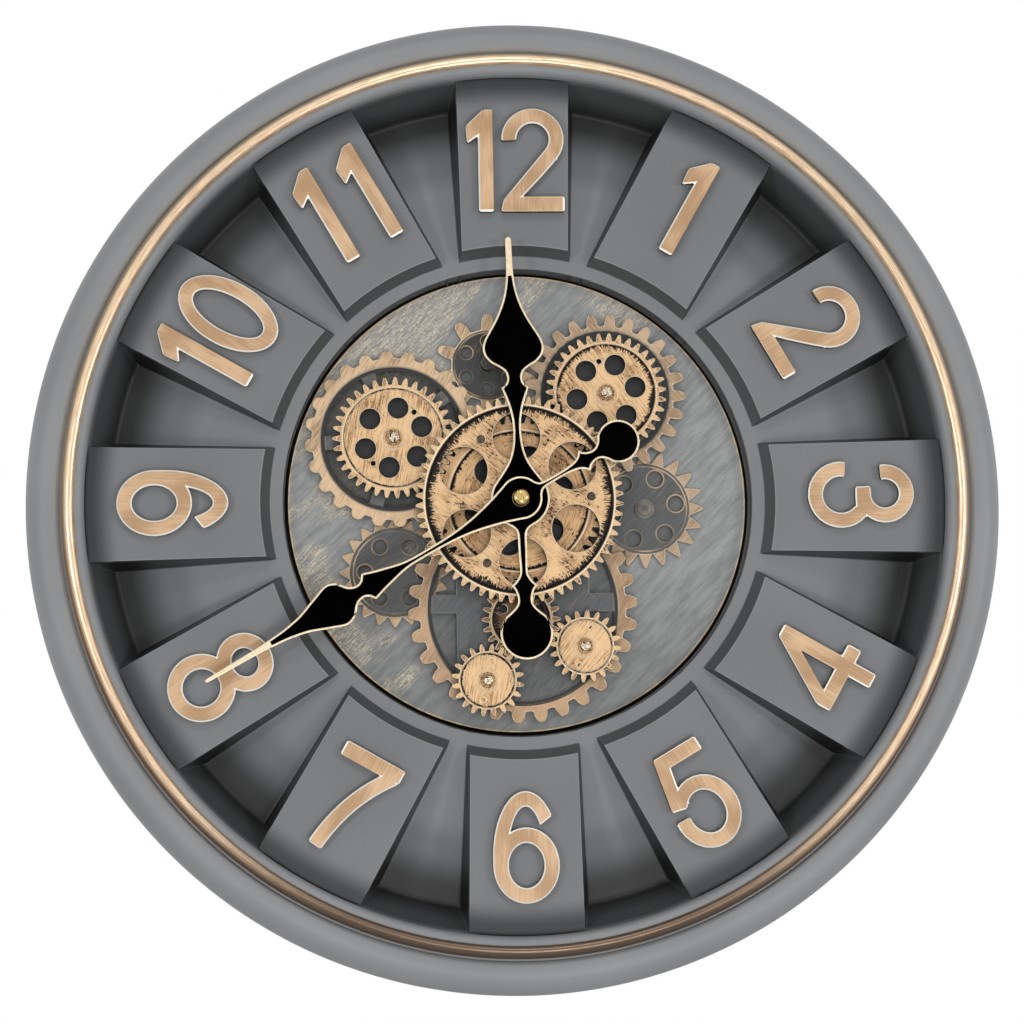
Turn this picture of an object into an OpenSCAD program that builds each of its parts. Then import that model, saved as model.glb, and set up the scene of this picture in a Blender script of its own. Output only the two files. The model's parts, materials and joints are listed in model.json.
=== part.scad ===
// Gear wall clock with a deep twelve-block dial and a train of turning gears.
// The clock hangs on a wall that is the plane Y = 0, and its dial faces -Y, with +Z up.
// Every piece is drawn in the dial's own frame: X to the right, Y up and Z towards the viewer,
// so that a height is a distance from the wall. The module hung() then stands the dial up.
// Bearings are clockwise angles from twelve o'clock.

/* [Overall] */
// Diameter over the rim
clock_d = 600; // [560:5:700]
// Height of the bead's top above the wall
rim_h = 70; // [68:1:72]

/* [Rim] */
// Width of the rim's rounded outer band
band_w = 25.8; // [22:0.2:30]
// How far the rim's side leans in below the band
side_lean = 2.6; // [0:0.1:4]
// Height of the rounding of the outer band
band_round_h = 27.5; // [20:0.5:30]
// Drop from the bead's top to the band's crown
crown_drop = 4.5; // [3:0.1:6]
// Drop from the band's crown to the ledge beside the bead
ledge_drop = 4.2; // [3:0.1:4.4]
// Width of the ledge beside the bead
bead_ledge_w = 1.2; // [0.8:0.1:2]
// Width of the bead
bead_w = 8; // [6:0.2:9]
// Rise of the bead above the seat that it lies in
bead_rise = 9.2; // [8.8:0.1:10]
// Width of the lip inside the bead
lip_w = 5.2; // [4:0.1:7]
// Drop over the lip's rounding
lip_drop = 6; // [4:0.1:8]
// Wall of the rim's outer skin
rim_wall = 3.2; // [2.4:0.2:4.6]
// Small rounding at the wall side of the rim
heel_round = 3; // [2:0.5:4]

/* [Dial tray] */
// Gap between the lowest gear teeth and the flat ring round the gears
ring_gap = 9.7; // [8:0.1:14]
// Width of the flat ring
ring_w = 8.2; // [6:0.2:12]
// Drop from the bead's top to the block faces
block_drop = 13; // [12:0.5:15]
// Drop from the block faces to the flat ring
step_drop = 6; // [4:0.5:8]
// Length of the sloped step between the ring and a block face
step_run = 6.1; // [4:0.1:8]
// Width of a block at its inner end
block_in_w = 65.5; // [56:0.5:72]
// Width of a block at its outer end
block_out_w = 69.5; // [66:0.5:78]
// Draft of the block sides in degrees
block_draft = 10; // [6:0.5:14]
// Height of the pocket floors at their outer end
pocket_h = 34; // [30:1:38]
// Run of the sloped wall between a pocket floor and the rim
pocket_run = 14; // [10:0.5:18]
// Wall of the tray
tray_wall = 3; // [2:0.2:3.6]
// Rounding of the ring's inner edge
edge_round = 1.6; // [0.6:0.2:2.2]
// Width of the flange that lies under the rim
flange_w = 20; // [18:0.5:22]
// Width of the ledge that carries the gear plate
ledge_w = 12; // [10:0.5:14]

/* [Gear plate] */
// Drop from the flat ring to the gear plate's front
plate_drop = 9; // [8:0.5:11]
// Thickness of the gear plate
plate_t = 2; // [1.6:0.1:2.6]
// Gap round the gear plate
plate_gap = 2.4; // [1:0.2:4]
// Thickness of the lower layer of fixed gears
low_relief_t = 2.4; // [1.6:0.1:2.6]
// Thickness of the upper layer of fixed gears
high_relief_t = 2.8; // [2:0.1:3]
// Depth of the dark grooves in the fixed gears
relief_groove = 0.8; // [0.4:0.1:1.2]

/* [Numerals] */
// Height of a numeral as a share of the block's length
numeral_share = 0.608; // [0.5:0.001:0.68]
// Width of a numeral's stroke as a share of its height
stroke_share = 0.145; // [0.11:0.001:0.17]
// Thickness of a numeral
numeral_t = 4.5; // [2:0.1:5]
// How far the numerals sit inside the middle of the blocks
numeral_inset = 0.5; // [0:0.1:4]

/* [Gears] */
// Module of the meshing gears
gear_mod = 2; // [1.9:0.02:2.04]
// Teeth of the rear main gear
main_teeth = 50; // [48:1:51]
// Teeth of the front main gear
front_teeth = 62; // [50:1:66]
// Tip radius of the front main gear
front_tip_r = 63; // [60:0.5:65]
// Teeth of each upper gear
upper_teeth = 35; // [33:1:35]
// Teeth of the drive gear
drive_teeth = 22; // [21:1:23]
// Teeth of each lower pinion
pinion_teeth = 20; // [18:1:20]
// Bearing of the upper left gear
upper_left_angle = -62.6; // [-64:0.2:-60]
// Bearing of the upper right gear
upper_right_angle = 39.8; // [38:0.2:42]
// Bearing of the lower left pinion from the drive gear
lower_left_angle = 209.7; // [205:0.2:214]
// Bearing of the lower right pinion from the drive gear
lower_right_angle = 113.5; // [110:0.2:118]
// Thickness of the meshing gears
gear_t = 4.5; // [3.5:0.1:4.8]
// Gap between the fixed gears and the meshing gears
gear_gap = 1.5; // [1:0.1:2]
// Thickness of the front main gear
front_t = 4; // [3:0.1:4.4]
// Gap between the rear and the front main gear
front_gap = 2.5; // [2:0.1:3]
// Sideways play between two meshing teeth
tooth_play = 0.6; // [0.4:0.05:0.9]
// Depth of the engraved rings on the gears
engraving = 0.5; // [0.2:0.1:1]

/* [Hands] */
// Length of the hour hand from its axis to its tip
hour_hand_l = 160; // [120:0.5:165]
// Greatest width of the hour hand
hour_hand_w = 37; // [28:0.2:42]
// Radius of the hour hand's hub
hour_hub_r = 17.8; // [16:0.2:20]
// Radius of the disc on the hour hand's tail
hour_disc_r = 15.8; // [12:0.2:18]
// Bearing of the hour hand at rest
hour_angle = -1.7; // [-180:0.1:180]
// Distance between the minute hand's tip and the rim
minute_tip_gap = 43.4; // [30:0.1:80]
// Greatest width of the minute hand
minute_hand_w = 27; // [20:0.2:30]
// Radius of the minute hand's hub
minute_hub_r = 13; // [12:0.2:16]
// Radius of the disc on the minute hand's tail
minute_disc_r = 13; // [10:0.2:15]
// Bearing of the minute hand at rest
minute_angle = 240.4; // [60:0.1:300]
// Thickness of a hand's metal
hand_t = 1.4; // [1:0.1:1.6]
// Thickness of the dark inlay on a hand
inlay_t = 0.5; // [0.3:0.05:0.6]
// Width of the bright edge round the inlay
hand_edge = 1.2; // [1:0.1:1.4]
// Gap between the hour hand and what lies under it
hour_hand_gap = 0.7; // [0.5:0.1:1.2]
// Gap between the two hands
minute_hand_gap = 2.1; // [1.6:0.1:2.6]
// Radius of the cap nut
cap_r = 5.1; // [4.5:0.1:6]
// Height of the cap nut
cap_nut_h = 6.1; // [5:0.1:8]

/* [Movement] */
// Width and height of the movement's case
case_w = 56; // [54:0.5:60]
// Depth of the movement's case
case_deep = 16; // [15.6:0.1:18]
// Wall of the movement's case
case_wall = 1.6; // [1.2:0.1:1.8]
// Thickness of the rubber washer
washer_t = 1.8; // [1:0.1:2.4]
// Outer radius of the threaded bush
bush_r = 4; // [3.8:0.05:4.4]
// Outer radius of the hour wheel's tube
hour_tube_r = 2.8; // [2.6:0.05:3]
// Radius of the minute arbor
arbor_r = 1.7; // [1.4:0.05:1.9]
// Radius of the brass sleeve that the main gears turn on
sleeve_r = 7; // [6.4:0.1:8]
// Radius of an upright AA cell
cell_r = 7.2; // [7:0.05:7.3]
// Length of an AA cell without its pip
cell_l = 49; // [48.5:0.1:49.5]

/* [Drive unit] */
// Width of the drive unit's housing
drive_w = 62; // [60:0.5:72]
// Height of the drive unit's housing
drive_l = 66; // [65:0.5:68]
// Depth of the drive unit's housing
drive_deep = 21; // [20:0.5:24]
// Wall of the drive unit's housing
drive_wall = 2; // [1.6:0.1:2.2]
// Radius of the gear motor
motor_r = 12; // [10:0.2:12.6]
// Radius of the drive shaft
drive_shaft_r = 2.5; // [2:0.1:2.8]
// Travel of the power switch
switch_travel = 4; // [2:0.5:5]

/* [Rear] */
// Radius of the opening in the rear panel
service_r = 128; // [122:1:134]
// Thickness of the rear panel
panel_t = 2.6; // [2:0.1:3.4]
// Height of the rear panel's wall side
panel_h = 2; // [1.8:0.1:2.6]
// Radius of the keyhole's entry
keyhole_r = 5; // [4:0.1:6]
// Radius of the keyhole's slot
keyhole_slot_r = 2.5; // [2:0.1:2.8]
// Distance between the rim's skin and the keyhole's entry
keyhole_in = 70.8; // [65:0.1:80]
// Thickness of the hanger plate
hanger_t = 1.2; // [0.8:0.1:1.5]

/* [Hidden] */
$fn = 96;
// General clearances and the one overrun that all cuts share.
overrun = 1;
running_gap = 0.05;
screw_gap = 0.1;
layer_gap = 0.3;
seat_gap = 0.15;
// Where the gears stand.
main_r = gear_mod * main_teeth / 2;
upper_r = gear_mod * upper_teeth / 2;
drive_r = gear_mod * drive_teeth / 2;
pinion_r = gear_mod * pinion_teeth / 2;
upper_reach = main_r + upper_r;
drive_reach = main_r + drive_r;
pinion_reach = drive_r + pinion_r;
drive_angle = 180;
upper_left_p = spot(upper_reach, upper_left_angle);
upper_right_p = spot(upper_reach, upper_right_angle);
drive_p = spot(drive_reach, drive_angle);
lower_left_p = drive_p + spot(pinion_reach, lower_left_angle);
lower_right_p = drive_p + spot(pinion_reach, lower_right_angle);
// Rim, from the outside inwards.
clock_r = clock_d / 2;
shoulder_r = clock_r - side_lean;
skin_in_r = clock_r - rim_wall;
bead_out_r = clock_r - band_w;
bead_in_r = bead_out_r - bead_w;
rim_in_r = bead_in_r - lip_w;
crown_in = 14.4;
crown_r = shoulder_r - crown_in;
crown_h = rim_h - crown_drop;
shoulder_h = crown_h - band_round_h;
bead_seat_h = rim_h - bead_rise;
bead_crest_in = 5.2;
bead_crest_drop = 3.6;
bead_crest_r = bead_out_r - bead_crest_in;
lip_h = rim_h - bead_crest_drop;
flange_edge = 1;
flange_out_r = rim_in_r + flange_w;
arc_steps = 10;
// Tray, from the inside outwards.
block_h = rim_h - block_drop;
ring_h = block_h - step_drop;
ring_in_r = norm(lower_left_p) + pinion_r + gear_mod + ring_gap;
plate_h = ring_h - plate_drop;
ledge_in_r = ring_in_r - ledge_w;
ledge_h = plate_h - plate_t;
ring_out_r = ring_in_r + ring_w;
block_in_r = ring_out_r + step_run;
pocket_out_r = rim_in_r - pocket_run;
block_taper = atan((block_out_w - block_in_w) / 2 / (rim_in_r - block_in_r));
block_root_w = block_in_w - 2 * block_in_r * tan(block_taper);
plate_r = ring_in_r - plate_gap;
hours = 12;
numeral_r = (block_in_r + rim_in_r) / 2 - numeral_inset;
numeral_h = (rim_in_r - block_in_r) * numeral_share;
numeral_w = numeral_h * stroke_share;
// Fixed gears: centres as shares of the plate's radius, sizes as shares too.
relief_h = plate_h + low_relief_t + layer_gap;
relief_top = relief_h + high_relief_t;
hub_clear = 9;
hub_clear_r = sleeve_r + hub_clear;
top_relief_shares = [-0.124, 0.605];
left_relief_shares = [-0.542, -0.301];
right_relief_shares = [0.553, -0.036];
lower_relief_shares = [0.012, -0.463];
upper_left_relief_r = plate_r * 0.386;
upper_right_relief_r = plate_r * 0.355;
top_relief_r = plate_r * 0.227;
left_relief_r = plate_r * 0.238;
right_relief_r = plate_r * 0.26;
lower_relief_r = plate_r * 0.5;
// Rings of the fixed gears as shares of each gear's tip radius: root first, then inwards.
upper_left_ring_shares = [0.92, 0.825, 0.77, 0.57];
upper_left_arm_share = 0.08;
upper_right_ring_shares = [0.855, 0.805, 0.715];
top_ring_shares = [0.7, 0.47, 0.117];
left_ring_shares = [0.825, 0.54, 0.133];
right_ring_shares = [0.77, 0.54, 0.134];
lower_ring_shares = [0.9, 0.834, 0.794];
lower_window_shares = [1.08, 0.58, 0.04];
narrow_tooth_share = 0.8;
low_dome_share = 0.7;
dome_ball_share = 1.4;
relief_foot_r = plate_r * 0.2;
lower_foot_r = plate_r * 0.31;
post_r = 4.4;
post_rise = 12;
post_top_h = plate_h + post_rise;
dome_r = 5.9;
dome_rise = 3;
// Tooth outlines: levels from root to tip, and half widths as shares of the pitch.
level_shares = [0, 0.4, 0.8, 1];
round_tooth_shares = [0.33, 0.29, 0.2, 0.1];
point_tooth_shares = [0.46, 0.29, 0.13, 0.05];
// Meshing gears.
pressure = 20;
root_deep = 1.25;
gear_h = relief_top + gear_gap;
gear_top = gear_h + gear_t;
front_mod = 2 * front_tip_r / (front_teeth + 2);
front_h = gear_top + front_gap;
front_top = front_h + front_t;
front_holes_angle = -2;
front_hole_r = 14.5;
front_holes_r = 38.1;
front_ring_r = 56.3;
rivet_r = 2.6;
rivets_r = 43.4;
rivets_angle = -32;
rivet_head_r = 3.6;
rivet_head_t = 0.8;
rivet_shoulder_r = 3.8;
rear_hole_r = 8;
rear_holes_r = 26;
rear_holes_angle = 14;
rear_ring_r = 42.2;
ring_line_w = 1.3;
main_hub_r = 12;
sleeve_flange_w = 3.5;
sleeve_flange_r = sleeve_r + sleeve_flange_w;
sleeve_flange_t = 2;
upper_hole_r = 6.4;
upper_holes_r = 18.3;
upper_ring_r = 30.2;
upper_hub_r = 7.3;
pin_hole_r = 1.6;
upper_pins_r = 20;
pinion_ring_r = 16.3;
pinion_mark_r = 1.8;
pinion_marks_r = 12;
pinion_hub_r = 6.8;
hub_rise = 1.2;
drive_hole_r = 2.6;
drive_holes_r = 12.5;
drive_ring_r = 17.4;
drive_hub_w = 3;
stud_r = 3.2;
small_stud_r = 2.9;
stud_base_w = 3.6;
stud_base_r = stud_r + stud_base_w;
stud_rivet_r = 5;
stud_rivet_t = 1.2;
collar_r = 4.9;
collar_t = 1.3;
stud_end = 1;
// Hands: distances along a hand and half widths, as shares of its length and greatest half width.
hour_blade_shares = [[0.422, 0.455], [0.43, 0.36], [0.441, 0.28], [0.457, 0.245], [0.473, 0.265],
    [0.487, 0.335], [0.503, 0.52], [0.519, 0.75], [0.545, 0.94], [0.577, 1], [0.608, 0.925],
    [0.634, 0.8], [0.68, 0.565], [0.73, 0.36], [0.787, 0.205], [0.849, 0.125], [0.9, 0.105],
    [0.985, 0.1], [0.996, 0.07], [1, 0.02]];
hour_stem_shares = [[0.07, 0.74], [0.1, 0.55], [0.13, 0.38], [0.16, 0.26], [0.2, 0.17], [0.25, 0.13],
    [0.285, 0.135], [0.315, 0.165], [0.352, 0.235], [0.39, 0.345], [0.422, 0.455]];
hour_tail_shares = [[0.1, 0.42], [0.108, 0.3], [0.118, 0.21], [0.132, 0.155], [0.155, 0.14],
    [0.2, 0.14], [0.267, 0.12], [0.292, 0.16], [0.314, 0.29], [0.33, 0.45]];
hour_neck_shares = [[0.33, 0.45], [0.336, 0.37], [0.349, 0.3], [0.37, 0.245], [0.39, 0.24],
    [0.408, 0.315], [0.429, 0.5], [0.444, 0.66]];
hour_disc_share = 0.507;
hour_inlay_share = 0.85;
minute_blade_shares = [[0.485, 0.66], [0.49, 0.56], [0.498, 0.4], [0.512, 0.315], [0.528, 0.37],
    [0.54, 0.51], [0.551, 0.73], [0.565, 0.91], [0.583, 1], [0.601, 0.955], [0.62, 0.84],
    [0.65, 0.66], [0.687, 0.435], [0.72, 0.315], [0.75, 0.235], [0.794, 0.175], [0.84, 0.13],
    [0.985, 0.085], [1, 0.02]];
minute_stem_shares = [[0.066, 0.65], [0.1, 0.5], [0.15, 0.315], [0.2, 0.2], [0.25, 0.15],
    [0.3, 0.135], [0.345, 0.14], [0.38, 0.2], [0.415, 0.335], [0.45, 0.48], [0.485, 0.66]];
minute_tail_shares = [[0.054, 0.4], [0.059, 0.28], [0.066, 0.18], [0.078, 0.135], [0.1, 0.12],
    [0.13, 0.12], [0.155, 0.14], [0.178, 0.2], [0.194, 0.33], [0.206, 0.555]];
minute_neck_shares = [[0.206, 0.555], [0.211, 0.41], [0.221, 0.3], [0.234, 0.235], [0.246, 0.255],
    [0.256, 0.345], [0.265, 0.5], [0.272, 0.69]];
minute_disc_share = 0.314;
minute_inlay_share = 0.794;
curve_steps = 4;
cap_round_w = 3.6;
cap_round_h = 3;
minute_hand_l = rim_in_r - minute_tip_gap;
hub_meets = 26;
hub_leaves = 56;
inlay_hub_gap = 0.6;
inlay_hub_r = hour_tube_r + inlay_hub_gap;
// Movement, measured from its front face towards the wall.
case_front = plate_h - plate_t - washer_t;
case_back = case_front - case_deep;
case_split = case_front - case_deep / 2;
case_round = 4;
case_in_front = case_front - case_wall;
case_in_back = case_back + case_wall;
washer_r = 9;
bush_flange_r = 6;
bush_flange_t = 1;
sleeve_rise = 1;
sleeve_top = front_top + sleeve_rise;
nut_t = 1.8;
nut_r = 6.6;
nut_sides = 6;
bush_top = sleeve_top + nut_t;
hour_hand_h = max(bush_top, block_h + numeral_t) + hour_hand_gap;
minute_hand_h = hour_hand_h + hand_t + inlay_t + minute_hand_gap;
hour_tube_rise = 0.6;
hour_tube_top = hour_hand_h + hand_t + inlay_t + hour_tube_rise;
hour_tube_in_r = arbor_r + running_gap;
bush_in_r = hour_tube_r + running_gap;
cap_base_h = minute_hand_h + hand_t;
cap_top_h = cap_base_h + cap_nut_h;
cap_end_t = 3.2;
arbor_top = cap_top_h - cap_end_t;
motion_mod = 0.5;
cannon_teeth = 12;
minute_wheel_teeth = 36;
minute_pinion_teeth = 10;
hour_wheel_teeth = 40;
knob_teeth = 12;
motion_reach = motion_mod * (cannon_teeth + minute_wheel_teeth) / 2;
hour_mod = 2 * motion_reach / (minute_pinion_teeth + hour_wheel_teeth);
motion_play = 0.16;
wheel_t = 1.4;
cannon_t = 2.4;
motion_gap = 1.2;
motion_h = case_split + motion_gap;
wheel_gap = 0.9;
hour_wheel_h = motion_h + wheel_t + wheel_gap;
minute_wheel_angle = 45;
knob_angle = 90;
wheel_post_r = 0.8;
knob_r = 6;
knob_t = 4.6;
knob_gap = 0.6;
knob_back = case_back - knob_gap - knob_t;
knob_stem_r = 1.3;
knob_grips = 20;
grip_r = 0.5;
pivot_r = 0.9;
pivot_boss_w = 2;
cell_up = -18.6;
cell_h = case_in_front - cell_r - layer_gap;
cell_pip_r = 2.7;
cell_pip_l = 1;
contact_t = 0.5;
contact_w = 8;
bay_l = cell_l + cell_pip_l + 2 * contact_t + 2 * seat_gap;
bay_half_w = cell_r + seat_gap;
board_w = 18;
board_l = 13;
board_t = 1.2;
board_x = -17;
board_up = 15;
coil_l = 15;
coil_r = 3.2;
coil_x = -18.4;
coil_up = 2.6;
coil_end_t = 1;
peg_r = 1;
// Drive unit.
drive_front = plate_h - plate_t;
drive_back = drive_front - drive_deep;
motor_gap = 1;
drive_top_up = -drive_reach + motor_r + drive_wall + motor_gap;
drive_low_up = drive_top_up - drive_l;
bay_rib_up = -drive_reach - motor_r - motor_gap;
drive_cell_h = drive_front - drive_wall - cell_r - layer_gap;
cell_gap = 0.8;
cell_step = 2 * cell_r + cell_gap;
bay_gap = 0.6;
drive_cell_up = bay_rib_up - drive_wall - cell_r - bay_gap;
drive_bay_half = (cell_l + cell_pip_l) / 2 + contact_t + seat_gap;
motor_l = 14;
motor_h = drive_front - drive_wall - motor_l;
shaft_sunk = 9;
shaft_end = 1;
shaft_top = gear_top + hub_rise + shaft_end;
shaft_hole_gap = 0.8;
shaft_hole_r = drive_shaft_r + shaft_hole_gap;
bridge_l = 13;
bridge_gap = 1.2;
bridge_x = motor_r + bridge_gap;
bridge_drop = 4;
bridge_up = -drive_reach - bridge_drop;
bridge_inset = 2;
bridge_h = drive_back + bridge_inset;
bridge_t = 2;
slider_w = 4;
slider_l = 3;
slider_foot = 1.8;
slider_foot_t = 1.4;
slider_knob_l = 5;
slot_gap = 0.2;
slider_gap = 1;
switch_x = bridge_x + drive_wall + slider_foot + slider_gap;
// Screws.
screw_r = 1.5;
screw_head_r = 3;
screw_head_t = 1.7;
panel_screw_l = 9;
panel_screws = 8;
boss_r = 4.6;
boss_inset = 5;
boss_ring_r = skin_in_r - boss_r - boss_inset;
flange_screws = 12;
flange_screw_out = 3.4;
flange_screw_r = bead_out_r + flange_screw_out;
flange_screw_deep = 4;
flange_screw_l = tray_wall + flange_screw_deep;
plate_screws = 6;
plate_screw_out = 4.6;
plate_screw_r = ledge_in_r + plate_screw_out;
screw_short = 0.6;
plate_screw_l = tray_wall + plate_t - screw_short;
drive_screw_l = drive_wall + plate_t - screw_short;
drive_screw_in = 6;
drive_screw_x = drive_w / 2 - drive_screw_in;
drive_screw_gap = 0.5;
hanger_w = 44;
hanger_l = 46;
hanger_screw_x = 16;
hanger_screw_l = 2.4;
hanger_screw_in = 1;
hanger_hole_gap = 3;
hanger_hole_r = keyhole_r + hanger_hole_gap;
keyhole_run = 12;
keyhole_up = skin_in_r - keyhole_in;
bumper_r = 8;
bumpers_angle = 26;
bumpers_in = 50.8;
bumpers_r = skin_in_r - bumpers_in;
flat_head_t = 0.6;

// Placing helpers.
function spot(r, bearing) = [r * sin(bearing), r * cos(bearing)];
function arc(cx, cy, rx, ry, from, to, n) =
    [for (i = [0:n]) let(a = from + (to - from) * i / n) [cx + rx * cos(a), cy + ry * sin(a)]];

module hung() rotate([90, 0, 0]) children();
module at(p, h = 0) translate([p[0], p[1], h]) children();
module ring_of(n, r, first = 0) for (i = [0:n - 1]) at(spot(r, first + 360 * i / n)) children();
module disc(r, h0, h1) translate([0, 0, h0]) cylinder(r = r, h = h1 - h0);
module tube(r_out, r_in, h0, h1) difference() {
    disc(r_out, h0, h1);
    disc(r_in, h0 - overrun, h1 + overrun);
}
module box(x0, x1, y0, y1, h0, h1) translate([x0, y0, h0]) cube([x1 - x0, y1 - y0, h1 - h0]);
module engraved_ring(r, top) tube(r + ring_line_w / 2, r - ring_line_w / 2, top - engraving, top + overrun);

// Tooth outlines. A flank's half angle at radius r follows the involute of the base circle.
function inv(a) = tan(a) * 180 / PI - a;
function flank(r, pitch_r, mod, play) =
    let(base_r = pitch_r * cos(pressure), a = acos(min(1, base_r / max(r, base_r))))
    (PI * mod - play) / (4 * pitch_r) * 180 / PI + inv(pressure) - inv(a);
function cog(teeth, root_r, tip_r, halves, turn) = [for (k = [0:teeth - 1], side = [-1, 1],
    i = [0:len(halves) - 1])
    let(j = side < 0 ? i : len(halves) - 1 - i,
        r = root_r + (tip_r - root_r) * level_shares[j],
        a = turn + 360 * k / teeth - side * halves[j])
    [r * sin(a), r * cos(a)]];
function gear_points(teeth, mod, play, turn) =
    let(pitch_r = mod * teeth / 2, tip_r = pitch_r + mod, root_r = pitch_r - root_deep * mod,
        halves = [for (s = level_shares) flank(root_r + (tip_r - root_r) * s, pitch_r, mod, play)])
    cog(teeth, root_r, tip_r, [for (a = halves) -a], turn);
function relief_points(teeth, root_r, tip_r, shares, turn) =
    cog(teeth, root_r, tip_r, [for (s = shares) -s * 360 / teeth], turn);
// The turn that puts a gear's gap on its neighbour's tooth, for a neighbour at a bearing from it.
function meshed(lead_teeth, lead_turn, teeth, bearing) =
    let(p = (bearing - lead_turn) * lead_teeth / 360) bearing + 180 - (0.5 - p) * 360 / teeth;

module gear_body(teeth, mod, play, turn, h0, h1) translate([0, 0, h0])
    linear_extrude(h1 - h0) polygon(gear_points(teeth, mod, play, turn));
module relief_body(teeth, root_r, tip_r, shares, turn, h0, h1) translate([0, 0, h0])
    linear_extrude(h1 - h0) polygon(relief_points(teeth, root_r, tip_r, shares, turn));

// How far each gear is turned so that all are in mesh at rest.
main_turn = 0;
upper_left_turn = meshed(main_teeth, main_turn, upper_teeth, upper_left_angle);
upper_right_turn = meshed(main_teeth, main_turn, upper_teeth, upper_right_angle);
drive_turn = meshed(main_teeth, main_turn, drive_teeth, drive_angle);
lower_left_turn = meshed(drive_teeth, drive_turn, pinion_teeth, lower_left_angle);
lower_right_turn = meshed(drive_teeth, drive_turn, pinion_teeth, lower_right_angle);
minute_wheel_p = spot(motion_reach, minute_wheel_angle);
knob_reach = motion_mod * (minute_wheel_teeth + knob_teeth) / 2;
knob_p = minute_wheel_p + spot(knob_reach, knob_angle);
cannon_turn = 0;
minute_wheel_turn = meshed(cannon_teeth, cannon_turn, minute_wheel_teeth, minute_wheel_angle);
knob_turn = meshed(minute_wheel_teeth, minute_wheel_turn, knob_teeth, knob_angle);
hour_wheel_turn = 0;
minute_pinion_turn = meshed(hour_wheel_teeth, hour_wheel_turn, minute_pinion_teeth, minute_wheel_angle);

// Rim: one revolved skin with a leaning side, a rounded band, the bead's seat and a rounded lip.
rim_points = concat(
    [[skin_in_r, 0], [clock_r - heel_round, 0]],
    arc(clock_r - heel_round, heel_round, heel_round, heel_round, -90, 0, 4),
    arc(crown_r, shoulder_h, crown_in, band_round_h, 0, 90, arc_steps),
    arc(crown_r, crown_h - ledge_drop, crown_r - bead_out_r - bead_ledge_w, ledge_drop, 105, 180, 5),
    [[bead_out_r, crown_h - ledge_drop], [bead_out_r, bead_seat_h], [bead_in_r, bead_seat_h]],
    arc(bead_in_r, lip_h - lip_drop, lip_w, lip_drop, 90, 180, 6),
    [[rim_in_r, block_h], [flange_out_r + flange_edge, block_h]],
    arc(crown_r, shoulder_h, crown_in - rim_wall, block_h - shoulder_h, 60, 0, 5),
    [[skin_in_r, panel_h + panel_t + heel_round]]);

module outer_frame() color("#5d5f62") hung() {
    difference() {
        union() {
            rotate_extrude() polygon(rim_points);
            ring_of(panel_screws, boss_ring_r, 180 / panel_screws)
                disc(boss_r, panel_h + panel_t, block_h);
        }
        ring_of(panel_screws, boss_ring_r, 180 / panel_screws)
            disc(screw_r + running_gap, 0, panel_h + panel_screw_l + overrun);
        ring_of(flange_screws, flange_screw_r, 180 / flange_screws)
            disc(screw_r + running_gap, block_h - overrun,
                block_h - tray_wall + flange_screw_l + overrun);
    }
}

// Bead: a revolved strip that fills its seat, with a long outer flank and a crest near the lip.
module trim_ring() color("#dcb27e") hung() rotate_extrude() polygon(concat(
    [[bead_in_r, bead_seat_h]],
    arc(bead_crest_r, bead_seat_h, bead_crest_in, bead_rise, 0, 90, 9),
    arc(bead_crest_r, lip_h, bead_crest_r - bead_in_r, bead_crest_drop, 108, 180, 4)));

// Tray: a revolved shell, with twelve hollow blocks that stand on its sloping pocket floor.
shell_points = concat(
    [[ledge_in_r, ledge_h - tray_wall], [ledge_in_r, ledge_h], [ring_in_r, ledge_h]],
    arc(ring_in_r + edge_round, ring_h - edge_round, edge_round, edge_round, 180, 90, 4),
    [[ring_out_r, ring_h], [pocket_out_r, pocket_h], [rim_in_r, block_h], [flange_out_r, block_h],
     [flange_out_r, block_h - tray_wall], [rim_in_r + tray_wall, block_h - tray_wall],
     [pocket_out_r + tray_wall, pocket_h - tray_wall],
     [pocket_out_r - tray_wall / 3, pocket_h - tray_wall], [ring_out_r - tray_wall / 3, ring_h - tray_wall],
     [ring_in_r + tray_wall, ring_h - tray_wall], [ring_in_r + tray_wall, ledge_h - tray_wall]]);
block_points = [[ring_out_r - overrun, ring_h - tray_wall], [ring_out_r, ring_h], [block_in_r, block_h],
    [rim_in_r + overrun, block_h], [rim_in_r + overrun, block_h - tray_wall],
    [pocket_out_r, pocket_h - tray_wall / 2], [ring_out_r, ring_h - tray_wall / 2]];
hollow_points = [[ring_out_r + tray_wall, ring_h - 2 * tray_wall],
    [ring_out_r + tray_wall, ring_h - tray_wall], [block_in_r + tray_wall / 2, block_h - tray_wall],
    [rim_in_r + tray_wall - overrun / 2, block_h - tray_wall],
    [pocket_out_r + tray_wall, pocket_h - tray_wall], [pocket_out_r + tray_wall, pocket_h - 2 * tray_wall],
    [pocket_out_r, pocket_h - 2 * tray_wall]];

// One block's upright sides: two bars turned apart by the taper, wider towards the wall.
module block_sides(inset) for (side = [-1, 1]) rotate([0, 0, side * block_taper])
    translate([0, clock_r, 0]) rotate([90, 0, 0]) linear_extrude(clock_r)
        polygon([for (p = [[1, block_h + overrun], [1, 0], [-1, 0], [-1, block_h + overrun]])
            [p[0] * (block_root_w / 2 - inset + (block_h - p[1]) * tan(block_draft)), p[1]]]);
module blocks(inset) for (i = [0:hours - 1]) rotate([0, 0, 360 * i / hours]) block_sides(inset);

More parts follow.
